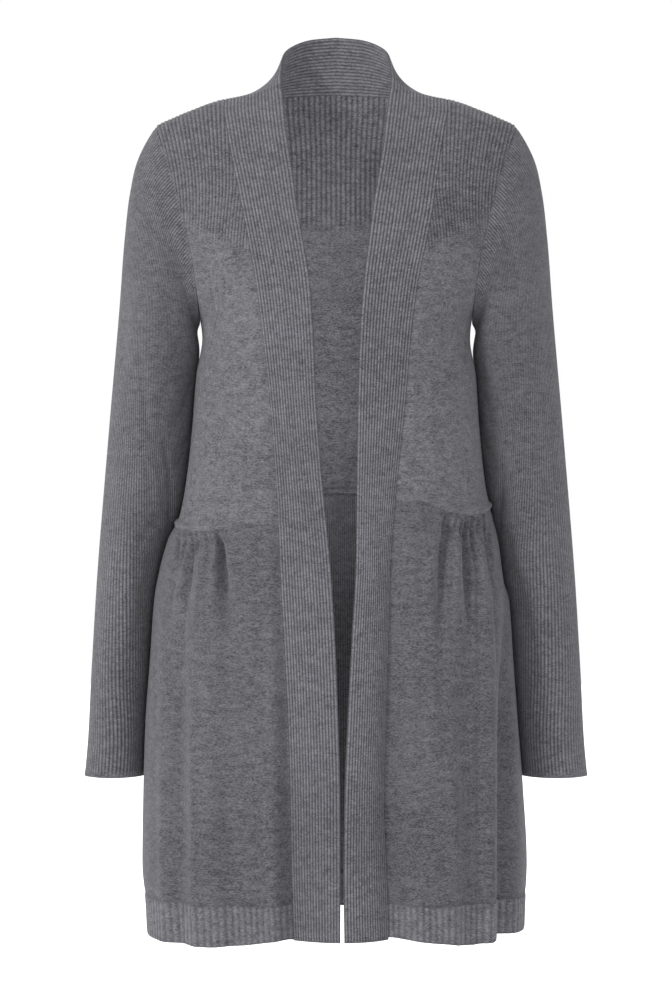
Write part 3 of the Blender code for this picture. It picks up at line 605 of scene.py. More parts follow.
# Creases of the sleeves, by the place round it (0 on top, 0.25 in front, 0.5 at the underarm), the
# distance down it where each is deepest, how long it is, how far its place shifts along it, and its size.
SLEEVE_CREASES = table(
    ("place", "down", "length", "slant", "half_width", "depth", "on_right", "on_left"),
    [
        (0.33, 118, 60, -0.05, 5.0, -1.5, 1, 1),
        (0.40, 150, 76, -0.07, 6.0, -1.8, 1, 0.7),
        (0.29, 168, 70, -0.05, 6.0, 1.2, 0.8, 1),
        (0.43, 196, 70, -0.06, 5.5, -1.4, 0.7, 1),
        (0.24, 232, 84, 0.06, 7.0, -1.3, 1, 0.6),
        (0.36, 262, 58, 0.08, 6.0, -2.0, 0.8, 1),
        (0.30, 288, 66, 0.09, 6.5, 1.5, 1, 0.8),
        (0.40, 306, 62, 0.07, 5.5, -1.8, 1, 0.9),
        (0.20, 322, 92, -0.05, 8.0, -1.2, 0.6, 1),
        (0.34, 350, 70, -0.07, 6.5, -1.7, 1, 0.6),
        (0.27, 398, 96, 0.04, 7.5, 1.1, 1, 0.8),
        (0.37, 430, 90, -0.03, 6.5, -1.3, 0.7, 1),
        (0.21, 468, 100, 0.03, 8.0, -1.0, 1, 0.7),
        (0.32, 522, 84, -0.03, 7.0, -1.1, 0.8, 1),
        (0.12, 210, 120, 0.04, 10.0, -0.9, 1, 0.8),
        (0.07, 400, 130, -0.03, 10.0, 0.8, 0.8, 1),
        (0.61, 140, 72, 0.06, 6.0, -1.6, 1, 1),
        (0.66, 196, 90, 0.05, 7.0, 1.2, 0.8, 1),
        (0.60, 262, 60, -0.08, 6.0, -1.9, 1, 0.8),
        (0.67, 292, 74, -0.08, 7.0, -1.6, 0.8, 1),
        (0.73, 318, 86, -0.05, 8.0, 1.4, 1, 0.8),
        (0.62, 346, 66, 0.06, 6.5, -1.5, 0.9, 1),
        (0.78, 420, 110, 0.03, 9.0, -1.1, 1, 0.8),
        (0.68, 500, 100, 0.03, 8.0, -1.0, 0.8, 1),
        (0.88, 250, 130, -0.03, 10.0, -0.9, 1, 1),
    ],
)


def creased(turn, height):
    """How far the knit stands out from the form at a place."""
    large = ridges(FRONT_FOLDS, turn, height, "front") + ridges(BACK_FOLDS, turn, height, "back")
    soft = ridges(FRONT_CREASES, turn, height, "front") + ridges(BACK_CREASES, turn, height, "back")
    sewn = GATHER_DEPTH * gathers(turn, height) + GUTTER_DEPTH * gutter(turn, height)
    return large + CREASE_DEPTH * soft + sewn + SEAM_HEIGHT * seam_ridge(turn, height)


def rib_wave(phase):
    """The height of a rib, from 0 in its groove to 1 on its rounded top."""
    return (0.5 - 0.5 * np.cos(2 * np.pi * phase)) ** 0.7


# Meshes


def block(rows, columns, u_low, u_high, v_low, v_high):
    """Texture places of a grid inside one rectangle."""
    u = np.linspace(u_low, u_high, columns)[None, :] * np.ones((rows, 1))
    v = np.linspace(v_high, v_low, rows)[:, None] * np.ones((1, columns))
    return np.stack([u, v], -1)


def quads(first, rows, columns):
    """Faces of a grid of points that starts at one number."""
    index = first + np.arange(rows * columns).reshape(rows, columns)
    return np.stack([index[:-1, :-1], index[:-1, 1:], index[1:, 1:], index[1:, :-1]], -1).reshape(-1, 4)


def shell(name, outer, inner, phase, rise, course, around=False):
    """A thin closed shell of two grids. Phase, rise and course describe the knit at each point."""
    rows, columns = outer.shape[:2]
    if around:
        outer, inner = (np.concatenate([grid, grid[:, :1]], 1) for grid in (outer, inner))
        columns += 1
    count = rows * columns
    points = np.concatenate([outer.reshape(-1, 3), inner.reshape(-1, 3)])
    places = np.concatenate(
        [
            block(rows, columns, 0.004, 0.494, 0.006, 0.968).reshape(-1, 2),
            block(rows, columns, 0.506, 0.996, 0.006, 0.968).reshape(-1, 2),
        ]
    )
    out, into = quads(0, rows, columns), quads(count, rows, columns)[:, ::-1]
    index = np.arange(count).reshape(rows, columns)
    rims = [(index[0], True), (index[-1], False)]
    if not around:
        rims += [(index[:, 0], False), (index[:, -1], True)]
    faces, corner_places = [out, into], [places[out], places[into]]
    for k, (line, flip) in enumerate(rims):
        strip = np.stack([line[:-1], line[:-1] + count, line[1:] + count, line[1:]], -1)
        u = np.linspace(0.004 + 0.25 * k, 0.244 + 0.25 * k, len(line))
        low, high = np.full(len(line) - 1, 0.974), np.full(len(line) - 1, 0.996)
        spots = [np.stack([u[:-1], high], -1), np.stack([u[:-1], low], -1)]
        spots += [np.stack([u[1:], low], -1), np.stack([u[1:], high], -1)]
        spots = np.stack(spots, 1)
        faces.append(strip[:, ::-1] if flip else strip)
        corner_places.append(spots[:, ::-1] if flip else spots)
    faces, corner_places = np.concatenate(faces), np.concatenate(corner_places)
    values = {"rib_phase": phase, "rib_rise": rise, "course": course}
    values = {key: np.concatenate([grid.reshape(-1)] * 2) for key, grid in values.items()}
    if around:
        # The last column repeats the first in place but not in the texture, so its points are joined.
        same = np.arange(2 * count)
        for start in (0, count):
            grid = same[start : start + count].reshape(rows, columns)
            grid[:, -1] = grid[:, 0]
        faces = same[faces]
    mesh = bpy.data.meshes.new(name)
    mesh.vertices.add(len(points))
    mesh.vertices.foreach_set("co", (points * MM).ravel())
    mesh.loops.add(faces.size)
    mesh.loops.foreach_set("vertex_index", faces.ravel().astype(np.int32))
    mesh.polygons.add(len(faces))
    mesh.polygons.foreach_set("loop_start", np.arange(len(faces), dtype=np.int32) * 4)
    mesh.polygons.foreach_set("loop_total", np.full(len(faces), 4, np.int32))
    mesh.update(calc_edges=True)
    mesh.validate()
    layer = mesh.uv_layers.new(name="OFBake")
    layer.data.foreach_set("uv", corner_places.reshape(-1))
    for key, grid in values.items():
        attribute = mesh.attributes.new(key, "FLOAT", "POINT")
        attribute.data.foreach_set("value", grid.astype(np.float32))
    mesh.polygons.foreach_set("use_smooth", np.ones(len(faces), bool))
    piece = bpy.data.objects.new(name, mesh)
    bpy.context.scene.collection.objects.link(piece)
    if around:
        drop_loose(mesh)
    return piece


def drop_loose(mesh):
    """Removes the points that a joined seam leaves without faces."""
    shape = bmesh.new()
    shape.from_mesh(mesh)
    loose = [point for point in shape.verts if not point.link_faces]
    bmesh.ops.delete(shape, geom=loose, context="VERTS")
    shape.to_mesh(mesh)
    shape.free()


def levels(pieces):
    """Row levels from runs of (start, end, count)."""
    runs = [np.linspace(start, end, count, endpoint=False) for start, end, count in pieces]
    return np.concatenate([*runs, [pieces[-1][1]]])


def places(edges, rows, across):
    """Turns and heights of a panel's whole grid."""
    grid = [patch(t, across, *edges) for t in rows]
    turn = np.stack([row[0] for row in grid])
    height = np.stack([row[1] + 0 * across for row in grid])
    return turn, height


def edge_distance(points):
    """The distance of each grid point from the nearest of the grid's four edges, along its lines."""
    across = np.linalg.norm(np.diff(points, axis=1), axis=2)
    down = np.linalg.norm(np.diff(points, axis=0), axis=2)
    run_across = np.pad(np.cumsum(across, 1), ((0, 0), (1, 0)))
    run_down = np.pad(np.cumsum(down, 0), ((1, 0), (0, 0)))
    sides = [run_across, run_across[:, -1:] - run_across, run_down, run_down[-1:] - run_down]
    return np.min(sides, axis=0)


def knit_panel(name, edges, rows, across, rib):
    """A knitted panel on the worn form. Rib gives the phase and the rise of the ribs at a place."""
    turn, height = places(edges, rows, across)
    middle, out = form(turn, height), form_normal(turn, height)
    lift = creased(turn, height)
    phase, rise = rib(turn, height, across[None, :] + 0 * turn)
    wave = rib_wave(phase)
    roll = EDGE_ROLL * np.exp(-((edge_distance(middle) / EDGE_ROLL_WIDTH) ** 2))
    outward = WALL / 2 - roll + rise * RIB_HEIGHT * (wave - RIB_LEVEL)
    inward = WALL / 2 - INNER_ROLL * roll - rise * RIB_HEIGHT * (wave + RIB_LEVEL - 1)
    course = -height / COURSE_STEP
    outer = middle + out * (lift + outward)[..., None]
    inner = middle + out * (lift - inward)[..., None]
    return shell(name, outer, inner, phase, rise, course)


# Edges of the panels


@lru_cache
def side_end(side):
    return meet(side_seam(side), waist)


@lru_cache
def band_end(side):
    return meet(band_seam(side), waist)


def armed_side(side, face, t):
    """The outer edge of a bodice panel at row t: the armhole, then the side seam."""
    height = course("at_side", t, side_end(side))
    turn, hole_height = armhole(side, face, armhole_share(height))
    below = height <= UNDERARM
    return np.where(below, side_seam(side)(height), turn), np.where(below, height, hole_height)


def waist_line(start, end, s):
    turn = start + (end - start) * s
    return turn, waist(turn)


def yoke_fade(height, end):
    return ease((height - end) / YOKE_FADE)


BODICE_LEVELS = levels([(0, 0.05, 14), (0.05, 0.25, 26), (0.25, 0.45, 26), (0.45, 0.95, 34), (0.95, 1, 12)])


def make_front(side):
    way = way_of(side)
    seam = band_seam(side)

    def at_band(t):
        height = course("at_band", t, band_end(side))
        return way * np.minimum(way * seam(height), 90.0), height

    def at_side(t):
        return armed_side(side, "front", t)

    def shoulder(s):
        height = NECK_POINT + (SHOULDER_TIP - NECK_POINT) * s
        return way * 90.0, height

    def at_waist(s):
        return waist_line(at_band(1.0)[0], at_side(1.0)[0], s)

    def rib(turn, height, s):
        x = np.abs(form(turn, height)[..., 0])
        inner, outer = read(FAN, "inner", "height", height), read(FAN, "outer", "height", height)
        phase = (x - inner) / (outer - inner) * YOKE_RIBS
        end = -172 + 26 * np.clip((x - 88) / 50, 0, 1)
        return phase, yoke_fade(height, end)

    edges = (at_band, at_side, shoulder, at_waist)
    return knit_panel("front_" + side + "_knit", edges, BODICE_LEVELS, np.linspace(0, 1, 150), rib)


def make_back():
    def at_right(t):
        turn, height = armed_side("right", "back", t)
        return turn % 360, height

    def at_left(t):
        return armed_side("left", "back", t)

    def top(s):
        off = np.abs(2 * s - 1)
        along_shoulder = np.clip((off - NECK_SHARE) / (1 - NECK_SHARE), 0, 1)
        height = NECK_POINT + (SHOULDER_TIP - NECK_POINT) * along_shoulder
        turn = np.minimum(off / NECK_SHARE * 90, 90)
        height = np.where(off < NECK_SHARE, neck_height(180 - turn), height)
        return 180 - np.sign(2 * s - 1) * turn, height

    def at_waist(s):
        return waist_line(at_right(1.0)[0], at_left(1.0)[0], s)

    def rib(turn, height, s):
        x = form(turn, height)[..., 0]
        spread = 1 + 0.10 * ease((height + 60) / 60)
        return x / YOKE_PITCH_BACK / spread, yoke_fade(height, -132)

    edges = (at_right, at_left, top, at_waist)
    return knit_panel("back_knit", edges, BODICE_LEVELS, np.linspace(0, 1, 360), rib)


def region(start, end, top, low):
    """The edges of a panel between two seams down the body and two lines round it."""

    def down(seam):
        first, last = meet(seam, top), meet(seam, low)

        def edge(t):
            height = first + (last - first) * t
            return seam(height), height

        return edge

    def round_body(line):
        first, last = start(meet(start, line)), end(meet(end, line))

        def edge(s):
            turn = first + (last - first) * s
            return turn, line(turn)

        return edge

    return down(start), down(end), round_body(top), round_body(low)


def hem_join(turn):
    return HEM_TOP + 0.0 * turn


def right_side_behind(height):
    return side_seam("right")(height) % 360


def no_rib(turn, height, s):
    return s * 30, 0 * s


def ribs_across(count):
    def rib(turn, height, s):
        return s * count, 1 + 0 * s

    return rib


SKIRT_LEVELS = levels([(0, 0.06, 14), (0.06, 0.3, 28), (0.3, 1, 34)])


def make_skirt_front(side):
    edges = region(band_seam(side), side_seam(side), waist, hem_join)
    across = levels([(0, 0.36, 34), (0.36, 1, 116)])
    return knit_panel("skirt_front_" + side + "_knit", edges, SKIRT_LEVELS, across, no_rib)


def make_skirt_back():
    edges = region(right_side_behind, side_seam("left"), waist, hem_join)
    across = np.linspace(0, 1, SKIRT_RIBS * 5 + 1)
    rows = levels([(0, 0.08, 6), (0.08, 1, 34)])
    return knit_panel("skirt_back_knit", edges, rows, across, ribs_across(SKIRT_RIBS))


def make_hem(part, start, end, ribs):
    edges = region(start, end, hem_join, hem)
    across = np.linspace(0, 1, ribs * 6 + 1)
    return knit_panel("hem_" + part + "_knit", edges, np.linspace(0, 1, 12), across, ribs_across(ribs))


def make_hem_front(side):
    return make_hem(side, band_seam(side), side_seam(side), HEM_RIBS_FRONT)


def make_hem_back():
    return make_hem("back", right_side_behind, side_seam("left"), HEM_RIBS_BACK)


# The band


def front_station(side, height):
    way = way_of(side)
    turn = band_seam(side)(height)
    edge_height = height + read(BAND_FRONT, "edge_rise", "height", height)
    edge_x = way * read(BAND_FRONT, "edge_" + side, "height", height)
    edge = form(turn_at(edge_x, edge_height), edge_height)
    seam = form(turn, height) + form_normal(turn, height) * creased(turn, height)[..., None]
    return seam, edge, read(BAND_FRONT, "bow_" + side, "height", height), form_normal(turn, height), height


def collar_station(side, turn):
    way = way_of(side)
    height = read(COLLAR, "seam_height", "turn", turn)
    edge = [way * read(COLLAR, "edge_across", "turn", turn)]
    edge += [read(COLLAR, name, "turn", turn) for name in ("edge_back", "edge_height")]
    normal = form_normal(way * turn, height)
    return form(way * turn, height), np.stack(edge, -1), read(COLLAR, "bow", "turn", turn), normal, height


def make_band():
    heights = levels([(-807.0, -300.0, 84), (-300.0, -60.0, 48), (-60.0, -8.0, 22)])[:-1]
    turns = np.linspace(90, 180, 34)
    runs = [front_station("right", heights), collar_station("right", turns)]
    runs += [collar_station("left", turns[-2::-1]), front_station("left", heights[::-1])]
    seam, edge, bow, seam_normal, height = (np.concatenate(part) for part in zip(*runs))
    normal = unit(np.cross(edge - seam, np.gradient((seam + edge) / 2, axis=0)))
    w = np.linspace(0, 1, BAND_RIB_COUNT * 6 + 1)[None, :]
    middle = seam[:, None] + (edge - seam)[:, None] * w[..., None]
    middle = middle + normal[:, None] * (4 * w * (1 - w) * bow[:, None])[..., None]
    turning = ease(w / 0.3)[..., None]
    lean = unit(normal[:, None] * turning + seam_normal[:, None] * (1 - turning))
    phase = w * BAND_RIB_COUNT + 0 * height[:, None]
    wave = rib_wave(phase)
    roll = EDGE_ROLL * np.exp(-((edge_distance(middle) / EDGE_ROLL_WIDTH) ** 2))
    sewn = 0.45 * np.exp(-(((height[:, None] - STITCH_LINE) / 1.3) ** 2)) + roll
    outer = middle + lean * (WALL / 2 + RIB_HEIGHT * (wave - RIB_LEVEL) - sewn)[..., None]
    inner = middle - lean * (WALL / 2 - RIB_HEIGHT * (wave + RIB_LEVEL - 1) - sewn * INNER_ROLL)[..., None]
    run = np.cumsum(np.pad(np.linalg.norm(np.diff(seam, axis=0), axis=1), (1, 0)))
    courses = run[:, None] / COURSE_STEP + 0 * phase
    return shell("front_band_knit", outer, inner, phase, 1 + 0 * phase, courses)


# The sleeves


def armhole_points(side, places_round):
    down = np.where(places_round <= 0.5, 2 * places_round, 2 - 2 * places_round)
    turn_front, height = armhole(side, "front", down)
    turn_back = armhole(side, "back", down)[0]
    turn = np.where(places_round <= 0.5, turn_front, turn_back)
    return form(turn, height), form_normal(turn, height)


def loop(side, outer, inner, middle, depth, keep, places_round):
    """A sleeve ring: an ellipse from its outer to its inner line that keeps some armhole shape."""
    way = way_of(side)
    swing, swell = np.cos(2 * np.pi * places_round), np.sin(2 * np.pi * places_round)
    centre, reach = (outer + inner) / 2, (outer - inner) / 2
    points = [way * (centre[0] + reach[0] * swing), middle - depth * swell, centre[1] + reach[1] * swing]
    top = np.array([SHOULDER_TIP_HALF_WIDTH, SHOULDER_TIP])
    low = np.array([UNDERARM_HALF_WIDTH, UNDERARM])
    plain = (top + low)[:, None] / 2 + (top - low)[:, None] / 2 * swing
    plain = np.stack([way * plain[0], -ARMHOLE_HALF_DEPTH * swell, plain[1]], -1)
    return np.stack(points, -1) + keep * (armhole_points(side, places_round)[0] - plain)


def sleeve_ring(side, k, places_round):
    row = {name: values[k] for name, values in SLEEVE.items()}
    outer = np.array([row["outer_x"], row["outer_z"]])
    inner = np.array([row["inner_" + side], row["inner_z"]])
    return loop(side, outer, inner, row["middle"], row["depth"], row["armhole"], places_round)


def ring_tangent(points):
    return np.roll(points, -1, axis=-2) - np.roll(points, 1, axis=-2)


def sleeve_start(side, places_round):
    """The sleeve's first ring, on the panels' edge."""
    way = way_of(side)
    hole, hole_normal = armhole_points(side, places_round)
    round_hole = unit(ring_tangent(hole))
    into_hole = unit(np.cross(hole_normal, round_hole)) * way
    away = unit(sleeve_ring(side, 0, places_round) - hole)
    turned = np.clip(1 - np.sum(away * into_hole, axis=1), 0, 2) / 2
    lift = (WALL + FOLD_ROOM) * turned**0.8
    return hole + hole_normal * lift[:, None]


def spline(x, xs, ys):
    """A smooth curve through rows of ys at xs, read at each x."""
    slope = np.gradient(ys, xs, axis=0)
    k = np.clip(np.searchsorted(xs, x) - 1, 0, len(xs) - 2)
    step = (xs[k + 1] - xs[k])[:, None, None]
    t = (x - xs[k])[:, None, None] / step
    start = ys[k] * (2 * t**3 - 3 * t**2 + 1) + slope[k] * step * (t**3 - 2 * t**2 + t)
    return start + ys[k + 1] * (3 * t**2 - 2 * t**3) + slope[k + 1] * step * (t**3 - t**2)


TOUCH = 0.35  # how near the sleeve rests beside the body
MOST_REST = 9.0


def resting(side, grid, places_round):
    """How far each point of a sleeve moves in, so that the sleeve rests beside the body."""
    way = way_of(side)
    inner = grid[:, len(places_round) // 2]
    turns = way * np.linspace(60, 120, 61)[None, :]
    heights = inner[:, 2][:, None] + 0 * turns
    outward = (creased(turns, heights) + WALL / 2)[..., None]
    body = form(turns, heights) + form_normal(turns, heights) * outward
    gap = way * inner[:, 0] - np.max(way * body[..., 0], axis=1) - WALL / 2 - TOUCH
    gap = np.clip(gap, 0, MOST_REST) * ease((UNDERARM - 6 - inner[:, 2]) / 30)
    gap = np.convolve(np.pad(gap, 4, mode="edge"), np.ones(9) / 9, mode="valid")
    share = (0.5 - 0.5 * np.cos(2 * np.pi * places_round)) ** 1.5
    return np.stack([way * gap[:, None] * share, 0 * gap[:, None] * share, 0 * gap[:, None] * share], -1)


SLEEVE_COLUMNS = 200
SLEEVE_ROWS = 130


def make_sleeve(side):
    way = way_of(side)
    places_round = np.arange(SLEEVE_COLUMNS) / SLEEVE_COLUMNS
    count = len(SLEEVE["outer_x"])
    rings = [sleeve_start(side, places_round)] + [sleeve_ring(side, k, places_round) for k in range(count)]
    rings = np.stack(rings)
    spans = np.linalg.norm(np.diff(rings[:, 0], axis=0), axis=1)
    knots = np.pad(np.cumsum(spans), (1, 0))
    share = np.linspace(0, 1, SLEEVE_ROWS)
    down = knots[-1] * (0.35 * share**2 + 0.65 * share)
    grid = spline(down, knots, rings)
    out = unit(np.cross(ring_tangent(grid), np.gradient(grid, axis=0))) * way
    steps = np.linalg.norm(grid - np.roll(grid, 1, axis=1), axis=2)
    around = np.cumsum(steps, axis=1) - steps[:, :1]
    girth = np.sum(steps, axis=1, keepdims=True)
    from_top = np.where(places_round[None, :] <= 0.5, around, girth - around)
    lift = 0 * around
    for k in range(len(SLEEVE_CREASES["place"])):
        crease = {name: values[k] for name, values in SLEEVE_CREASES.items()}
        along = (down[:, None] - crease["down"]) / crease["length"]
        middle = crease["place"] + crease["slant"] * along
        off = ((places_round[None, :] - middle + 0.5) % 1 - 0.5) * girth / crease["half_width"]
        depth = crease["depth"] * crease["on_" + side]
        lift = lift + depth * np.exp(-(off**2)) * np.exp(-((1.6 * along) ** 2))
    lift = lift * ease((down[:, None] - 20) / 60)
    grid = grid - resting(side, grid, places_round)
    phase = np.where(places_round[None, :] <= 0.5, from_top, -from_top) / RIB_PITCH
    left_to_cuff = down[-1] - down[:, None]
    rise = ease(down[:, None] / 3) * ease((left_to_cuff - 4) / 2) + 0 * around
    rolled = EDGE_ROLL * np.exp(-((down[:, None] / EDGE_ROLL_WIDTH) ** 2))
    sewn = 0.5 * np.exp(-(((left_to_cuff - 5.2) / 0.8) ** 2))
    turned = 0.35 * (1 - ease(left_to_cuff - 4.5)) - sewn
    outer = grid + out * (lift + WALL / 2 - rolled + turned)[..., None]
    inner = grid + out * (lift - WALL / 2 + INNER_ROLL * rolled)[..., None]
    values = [phase, rise, down[:, None] / COURSE_STEP + 0 * phase]
    values = [np.concatenate([value, value[:, :1]], 1) for value in values]
    return shell("sleeve_" + side + "_knit", outer, inner, *values, around=True)


# Materials

# Sizes of the yarn's mottling, in turns to a metre, from single fibres to large clouds
FUZZ_SCALE = 900.0
HEATHER_SCALE = 620.0
SLUB_SCALE = 140.0
CLOUD_SCALE = 9.0
STITCH_BUMP = 0.00010
FUZZ_BUMP = 0.00022
PLAIN_LEVEL = 0.8  # how bright plain knit is beside a rib's top in the painted groove shade (1 is as bright as the top)


def node(tree, kind, **inputs):
    """A shader node with some inputs set, by name or number, to a value or to another node's output."""
    made = tree.nodes.new(kind)
    for key, value in inputs.items():
        target = made.inputs[int(key[1:])] if key[0] == "n" and key[1:].isdigit() else made.inputs[key]
        if isinstance(value, bpy.types.NodeSocket):
            tree.links.new(value, target)
        else:
            target.default_value = value
    return made


def maths(tree, operation, first, second=0.0, third=0.0):
    made = node(tree, "ShaderNodeMath", n0=first, n1=second, n2=third)
    made.operation = operation
    return made.outputs[0]


def attribute(tree, name):
    made = tree.nodes.new("ShaderNodeAttribute")
    made.attribute_name = name
    return made.outputs["Fac"]


def noise(tree, scale, detail=2.0, rough=0.5, stretch=(0.62, 0.62, 1.5)):
    place = tree.nodes.new("ShaderNodeTexCoord").outputs["Object"]
    drawn = tree.nodes.new("ShaderNodeVectorMath")
    drawn.operation = "MULTIPLY"
    drawn.inputs[1].default_value = stretch
    tree.links.new(place, drawn.inputs[0])
    place = drawn.outputs[0]
    made = node(tree, "ShaderNodeTexNoise", Vector=place, Scale=scale, Detail=detail, Roughness=rough)
    return made.outputs[0]


def mix(tree, share, first, second):
    made = tree.nodes.new("ShaderNodeMix")
    made.data_type = "RGBA"
    for socket, value in ((made.inputs[0], share), (made.inputs[6], first), (made.inputs[7], second)):
        if isinstance(value, bpy.types.NodeSocket):
            tree.links.new(value, socket)
        else:
            socket.default_value = value if socket == made.inputs[0] else (*value, 1)
    return made.outputs[2]


def knit_material(name, light, dark, groove, bump_ribs):
    """Heathered knit: a mix of light and dark fibres, painted shade that darkens the colour in the rib grooves
    and a little along the stitches, stitch and fuzz bumps, and a soft sheen.
    """
    made = bpy.data.materials.new(name)
    made.use_nodes = True
    tree = made.node_tree
    shader = tree.nodes["Principled BSDF"]
    phase, rise, course_run = (attribute(tree, key) for key in ("rib_phase", "rib_rise", "course"))
    turn = maths(tree, "MULTIPLY", phase, 2 * np.pi)
    wave = maths(tree, "MULTIPLY_ADD", maths(tree, "COSINE", turn), -0.5, 0.5)
    wave = maths(tree, "POWER", maths(tree, "MAXIMUM", wave, 0.0), 0.6)
    plain_wave = maths(tree, "MULTIPLY_ADD", rise, maths(tree, "SUBTRACT", wave, PLAIN_LEVEL), PLAIN_LEVEL)
    stitch_phase = maths(tree, "MULTIPLY", course_run, 2 * np.pi)
    fine = maths(tree, "MULTIPLY", maths(tree, "COSINE", maths(tree, "MULTIPLY", turn, 2.0)), 1.6)
    stitches = maths(tree, "SINE", maths(tree, "ADD", stitch_phase, fine))
    heather = noise(tree, HEATHER_SCALE, 3.0, 0.7)
    heather = maths(tree, "MULTIPLY_ADD", maths(tree, "SUBTRACT", heather, 0.5), 2.6, 0.5)
    slub = noise(tree, SLUB_SCALE, 2.0, 0.6)
    slub = maths(tree, "MULTIPLY_ADD", maths(tree, "SUBTRACT", slub, 0.5), 0.9, 0.0)
    cloud = maths(tree, "MULTIPLY_ADD", maths(tree, "SUBTRACT", noise(tree, CLOUD_SCALE, 2.0), 0.5), 0.35, 0.0)
    share = maths(tree, "ADD", maths(tree, "ADD", heather, slub), cloud)
    clamp = tree.nodes.new("ShaderNodeClamp")
    tree.links.new(share, clamp.inputs[0])
    fibres = mix(tree, clamp.outputs[0], dark, light)
    # Painted shade: the colour is darkened towards each rib's groove, by up to the groove share, and plain
    # knit by the share set by PLAIN_LEVEL; the stitches add a faint painted shade too.
    depth = maths(tree, "MULTIPLY_ADD", maths(tree, "SUBTRACT", plain_wave, 1.0), groove, 1.0)
    depth = maths(tree, "MULTIPLY_ADD", stitches, 0.05, depth)
    shaded = tree.nodes.new("ShaderNodeVectorMath")
    shaded.operation = "SCALE"
    tree.links.new(fibres, shaded.inputs[0])
    tree.links.new(depth, shaded.inputs["Scale"])
    tree.links.new(shaded.outputs[0], shader.inputs["Base Color"])
    shader.inputs["Roughness"].default_value = 0.94
    shader.inputs["Specular IOR Level"].default_value = 0.18
    shader.inputs["Sheen Weight"].default_value = 0.12
    shader.inputs["Sheen Roughness"].default_value = 0.55
    shader.inputs["Sheen Tint"].default_value = (0.86, 0.86, 0.92, 1)
    surface = maths(tree, "MULTIPLY", stitches, STITCH_BUMP)
    surface = maths(tree, "MULTIPLY_ADD", noise(tree, FUZZ_SCALE, 2.0), FUZZ_BUMP, surface)
    if bump_ribs:
        surface = maths(tree, "MULTIPLY_ADD", plain_wave, bump_ribs * MM, surface)
    bump = tree.nodes.new("ShaderNodeBump")
    bump.inputs["Strength"].default_value = 1.0
    bump.inputs["Distance"].default_value = 1.0
    tree.links.new(surface, bump.inputs["Height"])
    tree.links.new(bump.outputs[0], shader.inputs["Normal"])
    return made


# The two colours are the yarn's light and dark fibres; the third number is how far painted shade darkens the
# rib grooves, and the last is the height of the ribs' bump in millimetres.
plain = knit_material("plain_heather", (0.138, 0.136, 0.150), (0.028, 0.028, 0.032), 0.6, 0.35)
# Painted shade: the front skirt is a darker copy of the bodice's plain knit, the same yarn set darker to stand
# in for its shade.
shaded_skirt = knit_material("skirt_heather_shaded", (0.102, 0.101, 0.111), (0.021, 0.021, 0.024), 0.5, 0.25)
hem_rib = knit_material("hem_heather", (0.136, 0.134, 0.148), (0.036, 0.035, 0.041), 0.36, 0.0)
rib = knit_material("rib_heather", (0.156, 0.154, 0.170), (0.042, 0.041, 0.048), 0.68, 0.0)
sleeve_rib = knit_material("sleeve_heather", (0.142, 0.140, 0.154), (0.036, 0.035, 0.041), 0.66, 0.7)

# Each piece's node, mesh, material and slot, then its cut: flat width and length in metres, flat area, and
# how it is held.
pieces = [
    ("front_right", make_front("right"), plain, "plain_knit", (0.20, 0.43), 0.047, "draped"),
    ("front_left", make_front("left"), plain, "plain_knit", (0.20, 0.43), 0.047, "draped"),
    ("back", make_back(), plain, "plain_knit", (0.42, 0.44), 0.150, "draped"),
    ("skirt_front_right", make_skirt_front("right"), shaded_skirt, "plain_knit", (0.25, 0.37), 0.080, "gathered"),
    ("skirt_front_left", make_skirt_front("left"), shaded_skirt, "plain_knit", (0.25, 0.37), 0.080, "gathered"),
    ("skirt_back", make_skirt_back(), rib, "rib_knit", (0.52, 0.39), 0.175, "hung"),
    ("hem_right", make_hem_front("right"), hem_rib, "rib_knit", (0.23, 0.036), 0.0078, "hung"),
    ("hem_left", make_hem_front("left"), hem_rib, "rib_knit", (0.23, 0.036), 0.0078, "hung"),
    ("hem_back", make_hem_back(), hem_rib, "rib_knit", (0.50, 0.034), 0.0165, "hung"),
    ("front_band", make_band(), rib, "rib_knit", (0.058, 1.92), 0.101, "draped"),
    ("sleeve_right", make_sleeve("right"), sleeve_rib, "sleeve_knit", (0.31, 0.63), 0.160, "draped"),
    ("sleeve_left", make_sleeve("left"), sleeve_rib, "sleeve_knit", (0.31, 0.63), 0.160, "draped"),
]

for name, piece, material, slot, flat, area, held in pieces:
    piece.data.materials.append(material)
    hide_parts(name)
    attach(piece, "root")


# The stage, the lights and the camera


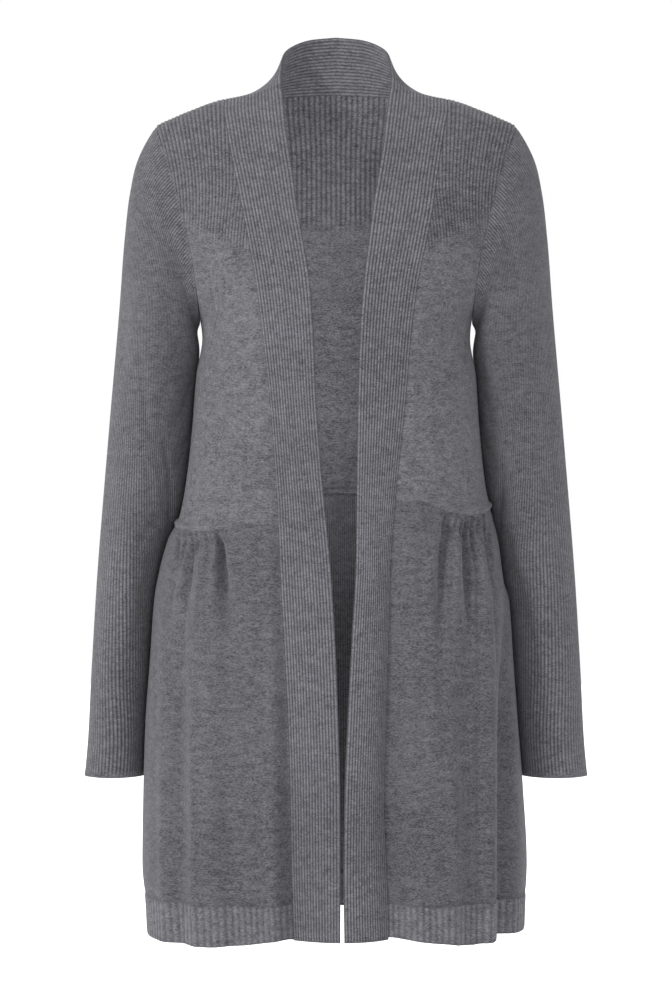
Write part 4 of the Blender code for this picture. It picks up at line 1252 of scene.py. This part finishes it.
def stage_floor():
    size = 6.0
    mesh = bpy.data.meshes.new("floor")
    corners = [(-size, -size, 0), (size, -size, 0), (size, size, 0), (-size, size, 0)]
    mesh.from_pydata(corners, [], [(0, 1, 2, 3)])
    floor = bpy.data.objects.new("floor", mesh)
    floor.location = (0, 0, -0.95)
    bpy.context.scene.collection.objects.link(floor)
    made = bpy.data.materials.new("pale_floor")
    made.use_nodes = True
    shader = made.node_tree.nodes["Principled BSDF"]
    shader.inputs["Base Color"].default_value = (0.9, 0.9, 0.9, 1)
    shader.inputs["Roughness"].default_value = 0.8
    shader.inputs["Emission Color"].default_value = (1, 1, 1, 1)
    shader.inputs["Emission Strength"].default_value = 0.45
    mesh.materials.append(made)


def area_light(name, place, aim, size, power):
    light = bpy.data.lights.new(name, "AREA")
    light.shape = "RECTANGLE"
    light.size, light.size_y = size
    light.energy = power
    holder = bpy.data.objects.new(name, light)
    holder.location = place
    holder.rotation_euler = (Vector(aim) - Vector(place)).to_track_quat("-Z", "Y").to_euler()
    bpy.context.scene.collection.objects.link(holder)


stage_floor()
area_light("key", (-2.1, -2.2, 1.1), (0, 0, -0.4), (0.6, 0.6), 84)
area_light("fill", (0.2, -3.3, -0.1), (0, 0, -0.4), (0.7, 0.9), 36)
area_light("inside", (0, -0.04, -0.22), (0, 1, -0.22), (0.10, 0.40), 0.5)
area_light("back", (0.0, 2.8, 1.2), (0, 0, -0.4), (1.8, 1.6), 30)

world = bpy.data.worlds.new("studio")
bpy.context.scene.world = world
world.use_nodes = True
world.node_tree.nodes["Background"].inputs["Color"].default_value = (1, 1, 1, 1)
world.node_tree.nodes["Background"].inputs["Strength"].default_value = 1.0

camera = bpy.data.objects.new("camera", bpy.data.cameras.new("camera"))
camera.location = (0, -2.8, -0.4)
camera.rotation_euler = (np.pi / 2, 0, 0)
camera.data.sensor_width = 36
camera.data.sensor_fit = "VERTICAL"
camera.data.sensor_height = 36
camera.data.lens = 103.1
bpy.context.scene.collection.objects.link(camera)
bpy.context.scene.camera = camera
bpy.context.scene.view_settings.view_transform = "Standard"
